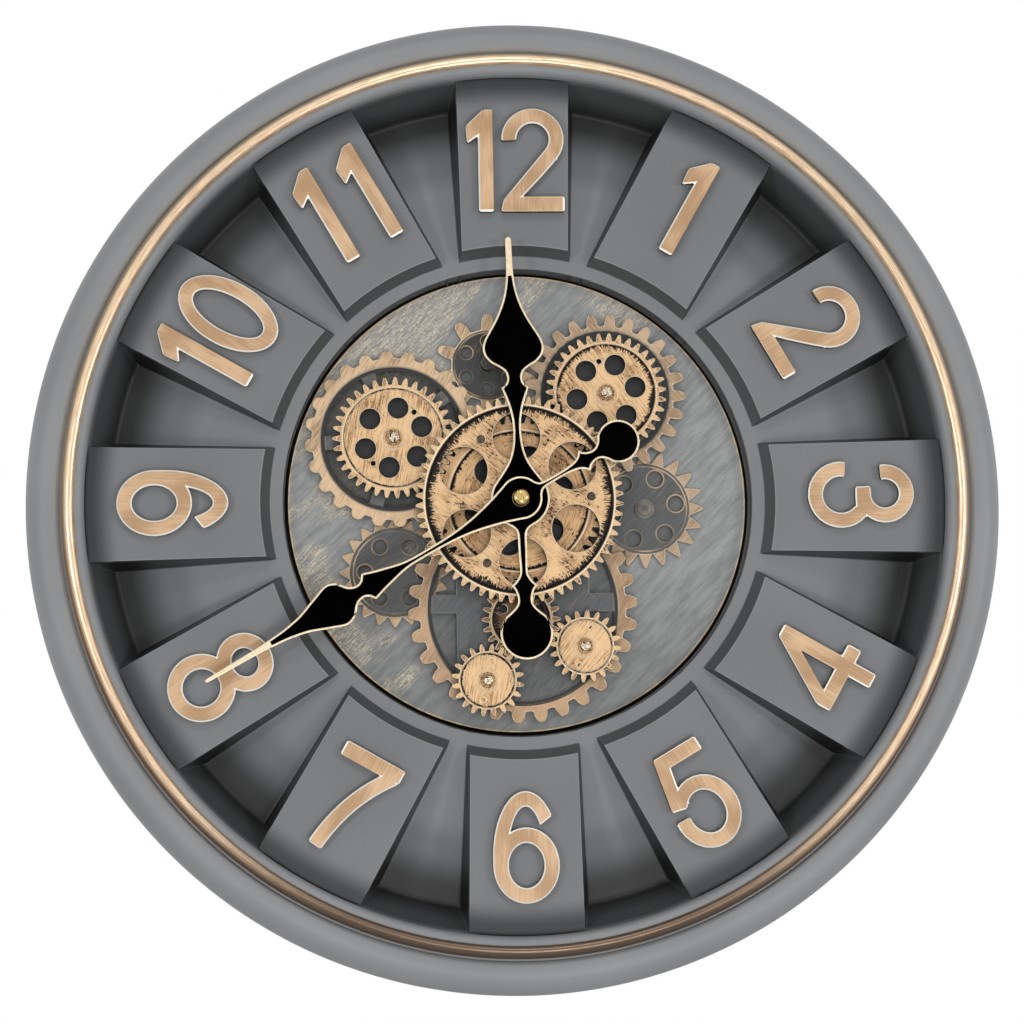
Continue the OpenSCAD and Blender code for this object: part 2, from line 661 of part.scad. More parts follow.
module dial_tray() color("#6e7073") hung() difference() {
    union() {
        rotate_extrude() polygon(shell_points);
        intersection() {
            rotate_extrude() polygon(block_points);
            blocks(0);
        }
    }
    intersection() {
        rotate_extrude() polygon(hollow_points);
        blocks(tray_wall);
    }
    ring_of(flange_screws, flange_screw_r, 180 / flange_screws)
        disc(screw_r + screw_gap, block_h - tray_wall - overrun, block_h + overrun);
    ring_of(plate_screws, plate_screw_r)
        disc(screw_r + screw_gap, ledge_h - tray_wall - overrun, ledge_h + overrun);
}

// Gear plate with holes for the bush, the studs, the drive shaft and its screws.
module gear_plate() color("#55534f") hung() difference() {
    disc(plate_r, plate_h - plate_t, plate_h);
    disc(bush_r + screw_gap, 0, plate_h + overrun);
    for (p = [upper_left_p, upper_right_p]) at(p) disc(stud_r + running_gap, 0, plate_h + overrun);
    for (p = [lower_left_p, lower_right_p]) at(p) disc(small_stud_r + running_gap, 0, plate_h + overrun);
    at(drive_p) disc(shaft_hole_r, 0, plate_h + overrun);
    ring_of(plate_screws, plate_screw_r)
        disc(screw_r + running_gap, 0, ledge_h - tray_wall + plate_screw_l + running_gap);
    drive_screw_places() disc(screw_r + running_gap, 0,
        drive_front - drive_wall + drive_screw_l + running_gap);
}

// Numerals. Curves and points are shares of the numeral's height, about its centre.
half_w = numeral_w / 2;
function bent(cx_share, cy_share, rx_share, ry_share, from, to, n) =
    arc(cx_share * numeral_h, cy_share * numeral_h, rx_share * numeral_h, ry_share * numeral_h, from, to, n);
function sized(shares) = [for (s = shares) s * numeral_h];
function bow(a_share, b_share, c_share, n) = [for (i = [0:n]) let(t = i / n)
    (a_share * (1 - t) * (1 - t) + b_share * 2 * t * (1 - t) + c_share * t * t) * numeral_h];
// A stroke of constant width along a path: each point moves along the path's normal.
function way(p, i) = let(a = p[max(i - 1, 0)], b = p[min(i + 1, len(p) - 1)], d = b - a) d / norm(d);
function beside(p, side) = [for (i = [0:len(p) - 1])
    let(d = way(p, i)) p[i] + side * half_w * [-d[1], d[0]]];
module stroke(p) polygon(concat(beside(p, 1), [for (i = [len(p) - 1:-1:0]) beside(p, -1)[i]]));
// The edge of an elliptical stroke on its outer side (1) or its inner side (-1).
function rim_of(cx_share, cy_share, rx_share, ry_share, side, from, to, n) =
    arc(cx_share * numeral_h, cy_share * numeral_h,
        rx_share * numeral_h + side * half_w, ry_share * numeral_h + side * half_w, from, to, n);
module oval(cx_share, cy_share, rx_share, ry_share) difference() {
    polygon(rim_of(cx_share, cy_share, rx_share, ry_share, 1, 0, 352, 44));
    polygon(rim_of(cx_share, cy_share, rx_share, ry_share, -1, 0, 352, 44));
}
module digit_0() oval(0, 0, 0.238, 0.443);
module digit_1() translate([-numeral_w / 2, 0]) polygon(concat(
    sized([[0.055, 0.5], [-0.118, 0.335], [-0.105, 0.165], [0, 0.24], [0, -0.5]]),
    [[numeral_w, -numeral_h / 2], [numeral_w, numeral_h / 2]]));
module digit_2() polygon(concat(
    rim_of(0.006, 0.208, 0.229, 0.229, 1, 183, -40, 20),
    bow([0.237, 0.014], [0.12, -0.13], [-0.1, -0.355], 6),
    [[0.305 * numeral_h, numeral_w - numeral_h / 2]],
    sized([[0.305, -0.5], [-0.305, -0.5], [-0.298, -0.45]]),
    bow([-0.28, -0.38], [-0.02, -0.07], [0.126, 0.107], 6),
    rim_of(0.006, 0.208, 0.229, 0.229, -1, -36, 183, 20)));
module digit_3() {
    stroke(concat(bent(-0.02, 0.232, 0.209, 0.209, 192, -78, 22), sized([[-0.09, 0.02]])));
    stroke(concat(sized([[-0.09, 0.018], [0.02, 0.018]]), bent(-0.012, -0.194, 0.247, 0.247, 60, -190, 22)));
}
module digit_4() difference() {
    polygon(sized([[0.07, 0.5], [0.195, 0.5], [0.195, -0.124], [0.325, -0.124], [0.325, -0.27],
        [0.195, -0.27], [0.195, -0.5], [0.05, -0.5], [0.05, -0.27], [-0.325, -0.27], [-0.325, -0.13]]));
    polygon(sized([[0.052, 0.25], [0.052, -0.124], [-0.178, -0.124]]));
}
module digit_5() {
    polygon(sized([[-0.2, 0.51], [0.26, 0.51], [0.265, 0.37], [-0.09, 0.37], [-0.13, 0.165],
        [-0.1, 0.02], [-0.15, -0.04], [-0.295, -0.005]]));
    stroke(bent(0, -0.156, 0.245, 0.283, 130, -188, 26));
}
module digit_9() difference() {
    polygon(concat(
        rim_of(0, 0.172, 0.24, 0.282, 1, -62, -360, 36),
        rim_of(0, 0.086, 0.24, 0.535, 1, 0, -142, 22),
        rim_of(0, 0.086, 0.24, 0.535, -1, -142, -31, 16)));
    polygon(rim_of(0, 0.172, 0.24, 0.282, -1, 0, 352, 44));
}
module digit_6() rotate(180) digit_9();
module digit_7() {
    polygon(concat(sized([[-0.31, 0.5], [0.31, 0.5], [0.31, 0.37]]),
        [[0.28 * numeral_h, numeral_h / 2 - numeral_w], [-0.31 * numeral_h, numeral_h / 2 - numeral_w]]));
    stroke(bow([0.243, 0.4], [-0.06, 0.02], [-0.105, -0.5], 12));
}
module digit_8() {
    oval(0, 0.262, 0.208, 0.192);
    oval(0, -0.207, 0.247, 0.248);
}
module beside_digit(x_share) translate([x_share * numeral_h, 0]) children();
module glyph(n) {
    if (n == 1) beside_digit(0.06) digit_1();
    if (n == 2) digit_2();
    if (n == 3) digit_3();
    if (n == 4) digit_4();
    if (n == 5) digit_5();
    if (n == 6) digit_6();
    if (n == 7) digit_7();
    if (n == 8) digit_8();
    if (n == 9) digit_9();
    if (n >= 10) beside_digit(n == 11 ? -0.18 : -0.27) digit_1();
    if (n == 10) beside_digit(0.187) digit_0();
    if (n == 11) beside_digit(0.3) digit_1();
    if (n == 12) beside_digit(0.178) digit_2();
}
// The tops of four to eight point at the centre, so that they read upright low on the dial.
module numeral(n) color("#dcb184") hung() at(spot(numeral_r, 30 * n), block_h)
    rotate([0, 0, -30 * n + (n >= 4 && n <= 8 ? 180 : 0)]) linear_extrude(numeral_t) glyph(n);
module numeral_1() numeral(1);
module numeral_2() numeral(2);
module numeral_3() numeral(3);
module numeral_4() numeral(4);
module numeral_5() numeral(5);
module numeral_6() numeral(6);
module numeral_7() numeral(7);
module numeral_8() numeral(8);
module numeral_9() numeral(9);
module numeral_10() numeral(10);
module numeral_11() numeral(11);
module numeral_12() numeral(12);

// Fixed gears that ornament the plate. The upper layer stands on feet.
module relief_gear_upper_left() color("#84654a") hung() at(upper_left_p) difference() {
    union() {
        relief_body(24, upper_left_relief_r * upper_left_ring_shares[0], upper_left_relief_r,
            round_tooth_shares, 11, relief_h, relief_top);
        disc(relief_foot_r, plate_h, relief_h + overrun);
    }
    tube(upper_left_relief_r * upper_left_ring_shares[1], upper_left_relief_r * upper_left_ring_shares[2],
        relief_top - relief_groove, relief_top + overrun);
    difference() {
        tube(upper_left_relief_r * upper_left_ring_shares[2], upper_left_relief_r * upper_left_ring_shares[3],
            relief_h - overrun, relief_top + overrun);
        for (i = [0:4]) rotate([0, 0, 21 - 72 * i])
            box(-upper_left_relief_r * upper_left_arm_share, upper_left_relief_r * upper_left_arm_share, 0,
                upper_left_relief_r, plate_h, relief_top + 2 * overrun);
    }
    disc(stud_r + screw_gap, 0, relief_top + overrun);
}
module relief_gear_upper_right() color("#84654a") hung() at(upper_right_p) difference() {
    union() {
        relief_body(25, upper_right_relief_r * upper_right_ring_shares[0], upper_right_relief_r,
            round_tooth_shares, 5, relief_h, relief_top);
        disc(relief_foot_r, plate_h, relief_h + overrun);
    }
    tube(upper_right_relief_r * upper_right_ring_shares[1], upper_right_relief_r * upper_right_ring_shares[2],
        relief_top - relief_groove, relief_top + overrun);
    disc(stud_r + screw_gap, 0, relief_top + overrun);
}
module relief_gear_top() color("#4d4a47") hung() at(top_relief_shares * plate_r) difference() {
    union() {
        relief_body(10, top_relief_r * top_ring_shares[0], top_relief_r,
            round_tooth_shares * narrow_tooth_share, 1, plate_h, plate_h + low_relief_t);
        disc(post_r, plate_h, post_top_h);
    }
    ring_of(6, top_relief_r * top_ring_shares[1], 1)
        disc(top_relief_r * top_ring_shares[2], plate_h - overrun, post_top_h);
}
module relief_gear_left() color("#4d4a47") hung() at(left_relief_shares * plate_r) difference() {
    union() {
        relief_body(20, left_relief_r * left_ring_shares[0], left_relief_r, point_tooth_shares, 0,
            plate_h, plate_h + low_relief_t);
        disc(dome_r * low_dome_share, plate_h, plate_h + low_relief_t + overrun);
    }
    ring_of(6, left_relief_r * left_ring_shares[1], 31)
        disc(left_relief_r * left_ring_shares[2], plate_h - overrun, post_top_h);
}
module relief_gear_right() color("#4d4a47") hung() at(right_relief_shares * plate_r) difference() {
    union() {
        relief_body(20, right_relief_r * right_ring_shares[0], right_relief_r, point_tooth_shares, 0,
            plate_h, plate_h + low_relief_t);
        disc(dome_r, plate_h, plate_h + low_relief_t + dome_rise / 3);
        intersection() {
            translate([0, 0, plate_h + low_relief_t + dome_rise - dome_r * dome_ball_share])
                sphere(dome_r * dome_ball_share);
            disc(dome_r, plate_h + low_relief_t, post_top_h);
        }
    }
    ring_of(6, right_relief_r * right_ring_shares[1], 21)
        disc(right_relief_r * right_ring_shares[2], plate_h - overrun, post_top_h);
}
module relief_gear_lower() color("#84654a") hung() difference() {
    at(lower_relief_shares * plate_r) difference() {
        union() {
            relief_body(30, lower_relief_r * lower_ring_shares[0], lower_relief_r, round_tooth_shares, 3.5,
                relief_h, relief_top);
            disc(lower_foot_r, plate_h, relief_h + overrun);
        }
        tube(lower_relief_r * lower_ring_shares[1], lower_relief_r * lower_ring_shares[2],
            relief_top - relief_groove, relief_top + overrun);
        for (side = [-1, 1], up = [-1, 1]) intersection() {
            disc(lower_relief_r * lower_ring_shares[2], plate_h - overrun, relief_top + overrun);
            translate([side * lower_relief_r * lower_window_shares[0],
                lower_relief_r * (up * lower_window_shares[1] + lower_window_shares[2]), 0])
                box(-lower_relief_r / 2, lower_relief_r / 2, -lower_relief_r / 2, lower_relief_r / 2,
                    plate_h - overrun, relief_top + overrun);
        }
    }
    disc(hub_clear_r, plate_h - overrun, relief_top + overrun);
    for (p = [lower_left_p, lower_right_p]) at(p)
        disc(small_stud_r + screw_gap, plate_h - overrun, relief_top + overrun);
    at(drive_p) disc(shaft_hole_r, plate_h - overrun, relief_top + overrun);
}

// Main gear pair: the rear one meshes and carries the hub, the front one is riveted to it.
module main_gear_front() color("#514f4c") hung() difference() {
    gear_body(front_teeth, front_mod, tooth_play, main_turn, front_h, front_top);
    ring_of(6, front_holes_r, front_holes_angle) disc(front_hole_r, front_h - overrun, front_top + overrun);
    ring_of(3, rivets_r, rivets_angle) disc(rivet_r + running_gap, front_h - overrun, front_top + overrun);
    engraved_ring(front_ring_r, front_top);
    disc(sleeve_r + running_gap, front_h - overrun, front_top + overrun);
}
module main_gear_rear() color("#6b5a49") hung() difference() {
    union() {
        gear_body(main_teeth, gear_mod, tooth_play, main_turn, gear_h, gear_top);
        disc(main_hub_r, plate_h + sleeve_flange_t + layer_gap, front_h);
    }
    ring_of(6, rear_holes_r, rear_holes_angle) disc(rear_hole_r, gear_h - overrun, gear_top + overrun);
    ring_of(3, rivets_r, rivets_angle) disc(rivet_r + running_gap, gear_h - overrun, gear_top + overrun);
    engraved_ring(rear_ring_r, gear_top);
    disc(sleeve_r + running_gap, plate_h, front_top + overrun);
}
module main_gear_rivets() color("#8b8a86") hung() ring_of(3, rivets_r, rivets_angle) {
    disc(rivet_head_r, gear_h - rivet_head_t, gear_h);
    disc(rivet_r, gear_h - rivet_head_t, front_top - engraving / 2);
    disc(rivet_shoulder_r, gear_top, front_h);
}

// Upper gears on their studs, with six lightening holes and two pin holes.
module upper_gear(turn, holes_angle, pins_angle) difference() {
    union() {
        gear_body(upper_teeth, gear_mod, tooth_play, turn, gear_h, gear_top);
        disc(upper_hub_r, gear_h, gear_top + hub_rise);
    }
    ring_of(6, upper_holes_r, holes_angle) disc(upper_hole_r, gear_h - overrun, gear_top + overrun);
    ring_of(2, upper_pins_r, pins_angle) disc(pin_hole_r, gear_h - overrun, gear_top + overrun);
    engraved_ring(upper_ring_r, gear_top);
    disc(stud_r + running_gap, gear_h - overrun, gear_top + hub_rise + overrun);
}
module upper_left_gear() color("#5a4f46") hung() at(upper_left_p) upper_gear(upper_left_turn, 9, 39);
module upper_right_gear() color("#5a4f46") hung() at(upper_right_p) upper_gear(upper_right_turn, 18.5, -11.5);

// Lower pinions, with two shallow marks each.
module lower_pinion(turn, marks_angle) difference() {
    union() {
        gear_body(pinion_teeth, gear_mod, tooth_play, turn, gear_h, gear_top);
        disc(pinion_hub_r, gear_h, gear_top + hub_rise);
    }
    ring_of(2, pinion_marks_r, marks_angle) disc(pinion_mark_r, gear_top - 2 * engraving, gear_top + overrun);
    engraved_ring(pinion_ring_r, gear_top);
    disc(small_stud_r + running_gap, gear_h - overrun, gear_top + hub_rise + overrun);
}
module lower_left_pinion() color("#6a665f") hung() at(lower_left_p) lower_pinion(lower_left_turn, 14);
module lower_right_pinion() color("#6a665f") hung() at(lower_right_p) lower_pinion(lower_right_turn, 18);

module drive_gear() color("#6b5a49") hung() at(drive_p) difference() {
    union() {
        gear_body(drive_teeth, gear_mod, tooth_play, drive_turn, gear_h, gear_top);
        disc(drive_shaft_r + drive_hub_w, gear_h, gear_top + hub_rise);
    }
    ring_of(6, drive_holes_r) disc(drive_hole_r, gear_h - overrun, gear_top + overrun);
    engraved_ring(drive_ring_r, gear_top);
    disc(drive_shaft_r, gear_h - overrun, gear_top + hub_rise + overrun);
}

// Studs riveted to the plate, each with a base that spaces its gear, and the collars that keep them on.
module stud(r) {
    disc(r, plate_h - plate_t - stud_rivet_t, gear_top + hub_rise + layer_gap + collar_t + stud_end);
    disc(stud_rivet_r, plate_h - plate_t - stud_rivet_t, plate_h - plate_t);
    disc(stud_base_r, relief_top, gear_h - layer_gap);
}
module gear_studs() color("#b9b6af") hung() {
    for (p = [upper_left_p, upper_right_p]) at(p) stud(stud_r);
    for (p = [lower_left_p, lower_right_p]) at(p) stud(small_stud_r);
}
module collar(r) tube(r + collar_r - stud_r, r + running_gap, gear_top + hub_rise + layer_gap,
    gear_top + hub_rise + layer_gap + collar_t);
module stud_collars() color("#77736c") hung() {
    for (p = [upper_left_p, upper_right_p]) at(p) collar(stud_r);
    for (p = [lower_left_p, lower_right_p]) at(p) collar(small_stud_r);
}
module gear_sleeve() color("#c9a25c") hung() difference() {
    union() {
        disc(sleeve_flange_r, plate_h, plate_h + sleeve_flange_t);
        disc(sleeve_r, plate_h, sleeve_top);
    }
    disc(bush_r + screw_gap, plate_h - overrun, sleeve_top + overrun);
}

// Hands. A smooth curve runs through the listed points, and each half mirrors the other.
function smooth(p) = [for (i = [0:len(p) - 2], k = [0:curve_steps - 1])
    let(t = k / curve_steps, a = p[max(i - 1, 0)], b = p[i], c = p[i + 1], d = p[min(i + 2, len(p) - 1)])
    (2 * b + (c - a) * t + (2 * a - 5 * b + 4 * c - d) * t * t + (3 * b - a - 3 * c + d) * t * t * t) / 2];
function half_outline(shares, l, w) = [for (s = smooth(shares)) [s[1] * w / 2, s[0] * l]];
function backwards(p) = [for (i = [len(p) - 1:-1:0]) [p[i][0], -p[i][1]]];
function both_halves(p) = concat(p, [for (i = [len(p) - 1:-1:0]) if (p[i][0] > 0) [-p[i][0], p[i][1]]]);
// Half of a hand, from the end of its tail disc to its tip, is one line of arcs and curves.
function hand_half(l, w, stem, blade, tail, neck, hub_r, disc_y, disc_r) =
    let(low = backwards(concat(half_outline(tail, l, w), half_outline(neck, l, w))),
        high = concat(half_outline(stem, l, w), half_outline(blade, l, w)))
    concat(arc(0, -disc_y, disc_r, disc_r, -90, acos(low[0][0] / disc_r), 16), low,
        arc(0, 0, hub_r, hub_r, -hub_leaves, hub_meets, 12), high);
module hand_shape(l, w, stem, blade, tail, neck, hub_r, disc_share, disc_r)
    polygon(both_halves(hand_half(l, w, stem, blade, tail, neck, hub_r, disc_share * l, disc_r)));
module hour_shape() hand_shape(hour_hand_l, hour_hand_w, hour_stem_shares, hour_blade_shares,
    hour_tail_shares, hour_neck_shares, hour_hub_r, hour_disc_share, hour_disc_r);
module minute_shape() hand_shape(minute_hand_l, minute_hand_w, minute_stem_shares, minute_blade_shares,
    minute_tail_shares, minute_neck_shares, minute_hub_r, minute_disc_share, minute_disc_r);
module pointed(bearing, h) translate([0, 0, h]) rotate([0, 0, -bearing]) children();
module inlay(l, start_share, hub_r) linear_extrude(inlay_t) difference() {
    intersection() {
        offset(delta = -hand_edge) children();
        translate([-l, -l]) square([2 * l, l + start_share * l]);
    }
    circle(hub_r);
}
module hour_hand() color("#d8ad75") hung() pointed(hour_angle, hour_hand_h) difference() {
    linear_extrude(hand_t) hour_shape();
    disc(hour_tube_r, -overrun, hand_t + overrun);
}
module hour_hand_inlay() color("#1c1b1b") hung() pointed(hour_angle, hour_hand_h + hand_t)
    inlay(hour_hand_l, hour_inlay_share, inlay_hub_r) hour_shape();
module minute_hand() color("#d8ad75") hung() pointed(minute_angle, minute_hand_h) difference() {
    linear_extrude(hand_t) minute_shape();
    disc(arbor_r, -overrun, hand_t + overrun);
}
module minute_hand_inlay() color("#1c1b1b") hung() pointed(minute_angle, minute_hand_h + hand_t)
    inlay(minute_hand_l, minute_inlay_share, cap_r + seat_gap) minute_shape();
module cap_nut() color("#c8924e") hung() rotate_extrude() polygon(concat(
    [[0, arbor_top + seat_gap], [arbor_r + running_gap, arbor_top + seat_gap],
     [arbor_r + running_gap, cap_base_h], [cap_r, cap_base_h]],
    arc(cap_r - cap_round_w, cap_top_h - cap_round_h, cap_round_w, cap_round_h, 0, 90, 6), [[0, cap_top_h]]));

// Movement: two half shells, the clamping bush and nut, the motion work and the electrics.
module case_block(inset, h0, h1) {
    half = case_w / 2 - inset;
    box(-half, half, -half + case_round, half - case_round, h0, h1);
    box(-half + case_round, half - case_round, -half, half, h0, h1);
    for (x = [-1, 1], y = [-1, 1]) translate([x * (half - case_round), y * (half - case_round), 0])
        disc(case_round, h0, h1);
}
module movement_case() color("#2c2d2f") hung() {
    difference() {
        case_block(0, case_split, case_front);
        case_block(case_wall, case_split - overrun, case_in_front);
        disc(bush_r + screw_gap, case_split, case_front + overrun);
    }
    at(minute_wheel_p) disc(wheel_post_r, motion_h, case_in_front);
    at([board_x, board_up]) disc(peg_r, case_split + board_t, case_in_front);
}
module movement_cover() color("#2c2d2f") hung() difference() {
    union() {
        difference() {
            case_block(0, case_back, case_split);
            case_block(case_wall, case_in_back, case_split + overrun);
        }
        disc(arbor_r + pivot_boss_w, case_in_back, motion_h - layer_gap - wheel_t);
    }
    box(-bay_l / 2, bay_l / 2, cell_up - bay_half_w, cell_up + bay_half_w, case_back - overrun,
        case_split + overrun);
    disc(pivot_r + running_gap, case_in_back, case_split + overrun);
    at(knob_p) disc(knob_stem_r + running_gap, case_back - overrun, case_split);
}
module movement_bush() color("#c9a25c") hung() difference() {
    union() {
        disc(bush_r, case_in_front, bush_top);
        disc(bush_flange_r, case_in_front - bush_flange_t, case_in_front);
    }
    disc(bush_in_r, case_split, bush_top + overrun);
}
module bush_nut() color("#c9a25c") hung() difference() {
    translate([0, 0, sleeve_top]) cylinder(r = nut_r, h = nut_t, $fn = nut_sides);
    disc(bush_r + running_gap, sleeve_top - overrun, bush_top + overrun);
}
module rubber_washer() color("#1d1d1e") hung()
    tube(washer_r, bush_r + screw_gap, case_front, case_front + washer_t);
module minute_arbor() color("#b9b6af") hung() {
    disc(arbor_r, motion_h - wheel_t, arbor_top);
    disc(pivot_r, case_in_back + layer_gap, motion_h);
    gear_body(cannon_teeth, motion_mod, motion_play, cannon_turn, motion_h,
        motion_h + cannon_t - wheel_t / 2);
}
module hour_wheel() color("#c9a25c") hung() difference() {
    union() {
        gear_body(hour_wheel_teeth, hour_mod, motion_play, hour_wheel_turn, hour_wheel_h,
            hour_wheel_h + wheel_t);
        disc(hour_tube_r, hour_wheel_h, hour_tube_top);
    }
    disc(hour_tube_in_r, hour_wheel_h - overrun, hour_tube_top + overrun);
}
module minute_wheel() color("#c9a25c") hung() at(minute_wheel_p) difference() {
    union() {
        gear_body(minute_wheel_teeth, motion_mod, motion_play, minute_wheel_turn, motion_h,
            motion_h + wheel_t);
        gear_body(minute_pinion_teeth, hour_mod, motion_play, minute_pinion_turn, motion_h + wheel_t / 2,
            hour_wheel_h + wheel_t);
    }
    disc(wheel_post_r + running_gap, motion_h - overrun, case_in_front);
}
module setting_knob() color("#3a3b3d") hung() at(knob_p) {
    difference() {
        disc(knob_r, knob_back, knob_back + knob_t);
        ring_of(knob_grips, knob_r) disc(grip_r, knob_back - overrun, knob_back + knob_t + overrun);
    }
    disc(knob_stem_r, knob_back + knob_t / 2, motion_h + wheel_t);
    gear_body(knob_teeth, motion_mod, motion_play, knob_turn, motion_h, motion_h + wheel_t);
}
module stepper_coil() color("#a8512c") hung() {
    translate([coil_x - coil_l / 2, coil_up, case_in_front - coil_r]) rotate([0, 90, 0])
        cylinder(r = coil_r - coil_end_t / 2, h = coil_l);
    for (x = [coil_x - coil_l / 2, coil_x + coil_l / 2 - coil_end_t])
        box(x, x + coil_end_t, coil_up - coil_r, coil_up + coil_r, case_in_front - 2 * coil_r, case_in_front);
}
module circuit_board() color("#2f6b3c") hung()
    box(board_x - board_w / 2 + overrun, board_x + board_w / 2 - overrun, board_up - board_l / 2,
        board_up + board_l / 2, case_split, case_split + board_t);

module cell(h) rotate([0, 90, 0]) {
    translate([0, 0, -(cell_l + cell_pip_l) / 2]) cylinder(r = cell_r, h = cell_l);
    translate([0, 0, (cell_l - cell_pip_l) / 2 - overrun]) cylinder(r = cell_pip_r, h = cell_pip_l + overrun);
}
module movement_cell() color("#3f6d52") hung() translate([0, cell_up, cell_h]) cell();
module contact_pair(p, h) for (side = [-1, 1]) at(p)
    translate([side * ((cell_l + cell_pip_l + contact_t) / 2) - contact_t / 2, 0, 0])
        box(0, contact_t, -contact_w / 2, contact_w / 2, h - contact_w / 2, h + contact_w / 2);
module battery_contacts() color("#cfcfcc") hung() {
    contact_pair([0, cell_up], cell_h);
    for (i = [0, 1]) contact_pair([0, drive_cell_up - i * cell_step], drive_cell_h);
}

// Drive unit behind the plate: housing, gear motor, shaft, two cells and a power switch.
module drive_screw_places() for (side = [-1, 1])
    at([side * drive_screw_x, drive_top_up - drive_wall - screw_head_r - drive_screw_gap]) children();
module drive_housing() color("#2c2d2f") hung() {
    difference() {
        box(-drive_w / 2, drive_w / 2, drive_low_up, drive_top_up, drive_back, drive_front);
        box(-drive_w / 2 + drive_wall, drive_w / 2 - drive_wall, bay_rib_up, drive_top_up - drive_wall,
            drive_back - overrun, drive_front - drive_wall);
        box(-drive_bay_half, drive_bay_half, drive_low_up + drive_wall, bay_rib_up - drive_wall,
            drive_back - overrun, drive_front - drive_wall);
        at(drive_p) disc(shaft_hole_r, drive_back, drive_front + overrun);
        drive_screw_places() disc(screw_r + screw_gap, drive_back, drive_front + overrun);
        at(lower_left_p) disc(stud_rivet_r + layer_gap, drive_front - drive_wall - overrun,
            drive_front + overrun);
    }
    difference() {
        box(bridge_x, drive_w / 2 - drive_wall / 2, bridge_up - bridge_l / 2, bridge_up + bridge_l / 2,
            bridge_h, drive_front - drive_wall / 2);
        box(bridge_x + drive_wall, drive_w / 2 - drive_wall, bridge_up - bridge_l / 2 + drive_wall,
            bridge_up + bridge_l / 2 - drive_wall, bridge_h + bridge_t, drive_front - drive_wall);
        box(switch_x - slot_gap, switch_x + slider_w + switch_travel + slot_gap,
            bridge_up - slider_l / 2 - slot_gap, bridge_up + slider_l / 2 + slot_gap,
            bridge_h - overrun, bridge_h + bridge_t + overrun);
    }
}
module drive_motor() color("#9a9a98") hung() at(drive_p) difference() {
    disc(motor_r, motor_h, motor_h + motor_l);
    disc(drive_shaft_r + running_gap, motor_h + motor_l - shaft_sunk, motor_h + motor_l + overrun);
}
module drive_shaft() color("#b9b6af") hung() at(drive_p)
    disc(drive_shaft_r, motor_h + motor_l - shaft_sunk + layer_gap, shaft_top);
module drive_cells() color("#3f6d52") hung() for (i = [0, 1])
    translate([0, drive_cell_up - i * cell_step, drive_cell_h]) rotate([0, 0, 180 * i]) cell();
module switch_slider() color("#b33a2a") hung() {
    box(switch_x, switch_x + slider_w, bridge_up - slider_l / 2, bridge_up + slider_l / 2,
        bridge_h + bridge_t + layer_gap + slider_foot_t - slider_knob_l - bridge_t,
        bridge_h + bridge_t + layer_gap + slider_foot_t);
    box(switch_x - slider_foot, switch_x + slider_w + slider_foot, bridge_up - slider_l / 2 - slider_foot,
        bridge_up + slider_l / 2 + slider_foot, bridge_h + bridge_t + layer_gap,
        bridge_h + bridge_t + layer_gap + slider_foot_t);
}

// Rear panel, hanger plate with its keyhole, screws and wall bumpers.
module hanger_screw_places() for (side = [-1, 1], up = [-1, 1])
    at([side * hanger_screw_x, keyhole_up + keyhole_run / 2
        + up * (hanger_l / 2 - screw_head_r - hanger_screw_in)]) children();
module rear_panel() color("#3b3a38") hung() difference() {
    disc(skin_in_r - seat_gap, panel_h, panel_h + panel_t);
    disc(service_r, 0, panel_h + panel_t + overrun);
    ring_of(panel_screws, boss_ring_r, 180 / panel_screws)
        disc(screw_r + screw_gap, 0, panel_h + panel_t + overrun);
    at([0, keyhole_up]) disc(hanger_hole_r, 0, panel_h + panel_t + overrun);
    at([0, keyhole_up + keyhole_run]) disc(hanger_hole_r, 0, panel_h + panel_t + overrun);
    box(-hanger_hole_r, hanger_hole_r, keyhole_up, keyhole_up + keyhole_run, 0, panel_h + panel_t + overrun);
    hanger_screw_places() disc(screw_r + running_gap, 0, panel_h + panel_t + overrun);
}
module hanger_plate() color("#b4b4b1") hung() difference() {
    box(-hanger_w / 2, hanger_w / 2, keyhole_up + (keyhole_run - hanger_l) / 2,
        keyhole_up + (keyhole_run + hanger_l) / 2, panel_h - hanger_t, panel_h);
    at([0, keyhole_up]) disc(keyhole_r, 0, panel_h + overrun);
    at([0, keyhole_up + keyhole_run]) disc(keyhole_slot_r, 0, panel_h + overrun);
    box(-keyhole_slot_r, keyhole_slot_r, keyhole_up, keyhole_up + keyhole_run, 0, panel_h + overrun);
    hanger_screw_places() disc(screw_r + screw_gap, 0, panel_h + overrun);
}
module screw(head_h, l) {
    disc(screw_head_r, head_h - screw_head_t, head_h);
    disc(screw_r, head_h - screw_head_t / 2, head_h + l);
}
module screws() color("#8f8f8c") hung() {
    ring_of(flange_screws, flange_screw_r, 180 / flange_screws) screw(block_h - tray_wall, flange_screw_l);
    ring_of(plate_screws, plate_screw_r) screw(ledge_h - tray_wall, plate_screw_l);
    ring_of(panel_screws, boss_ring_r, 180 / panel_screws) screw(panel_h, panel_screw_l);
    drive_screw_places() screw(drive_front - drive_wall, drive_screw_l);
    hanger_screw_places() {
        disc(screw_head_r, panel_h - hanger_t - flat_head_t, panel_h - hanger_t);
        disc(screw_r, panel_h - hanger_t - flat_head_t / 2, panel_h - hanger_t + hanger_screw_l);
    }
}
module wall_bumpers() color("#1d1d1e") hung() for (side = [-1, 1])
    at(spot(bumpers_r, 180 + side * bumpers_angle)) disc(bumper_r, 0, panel_h);

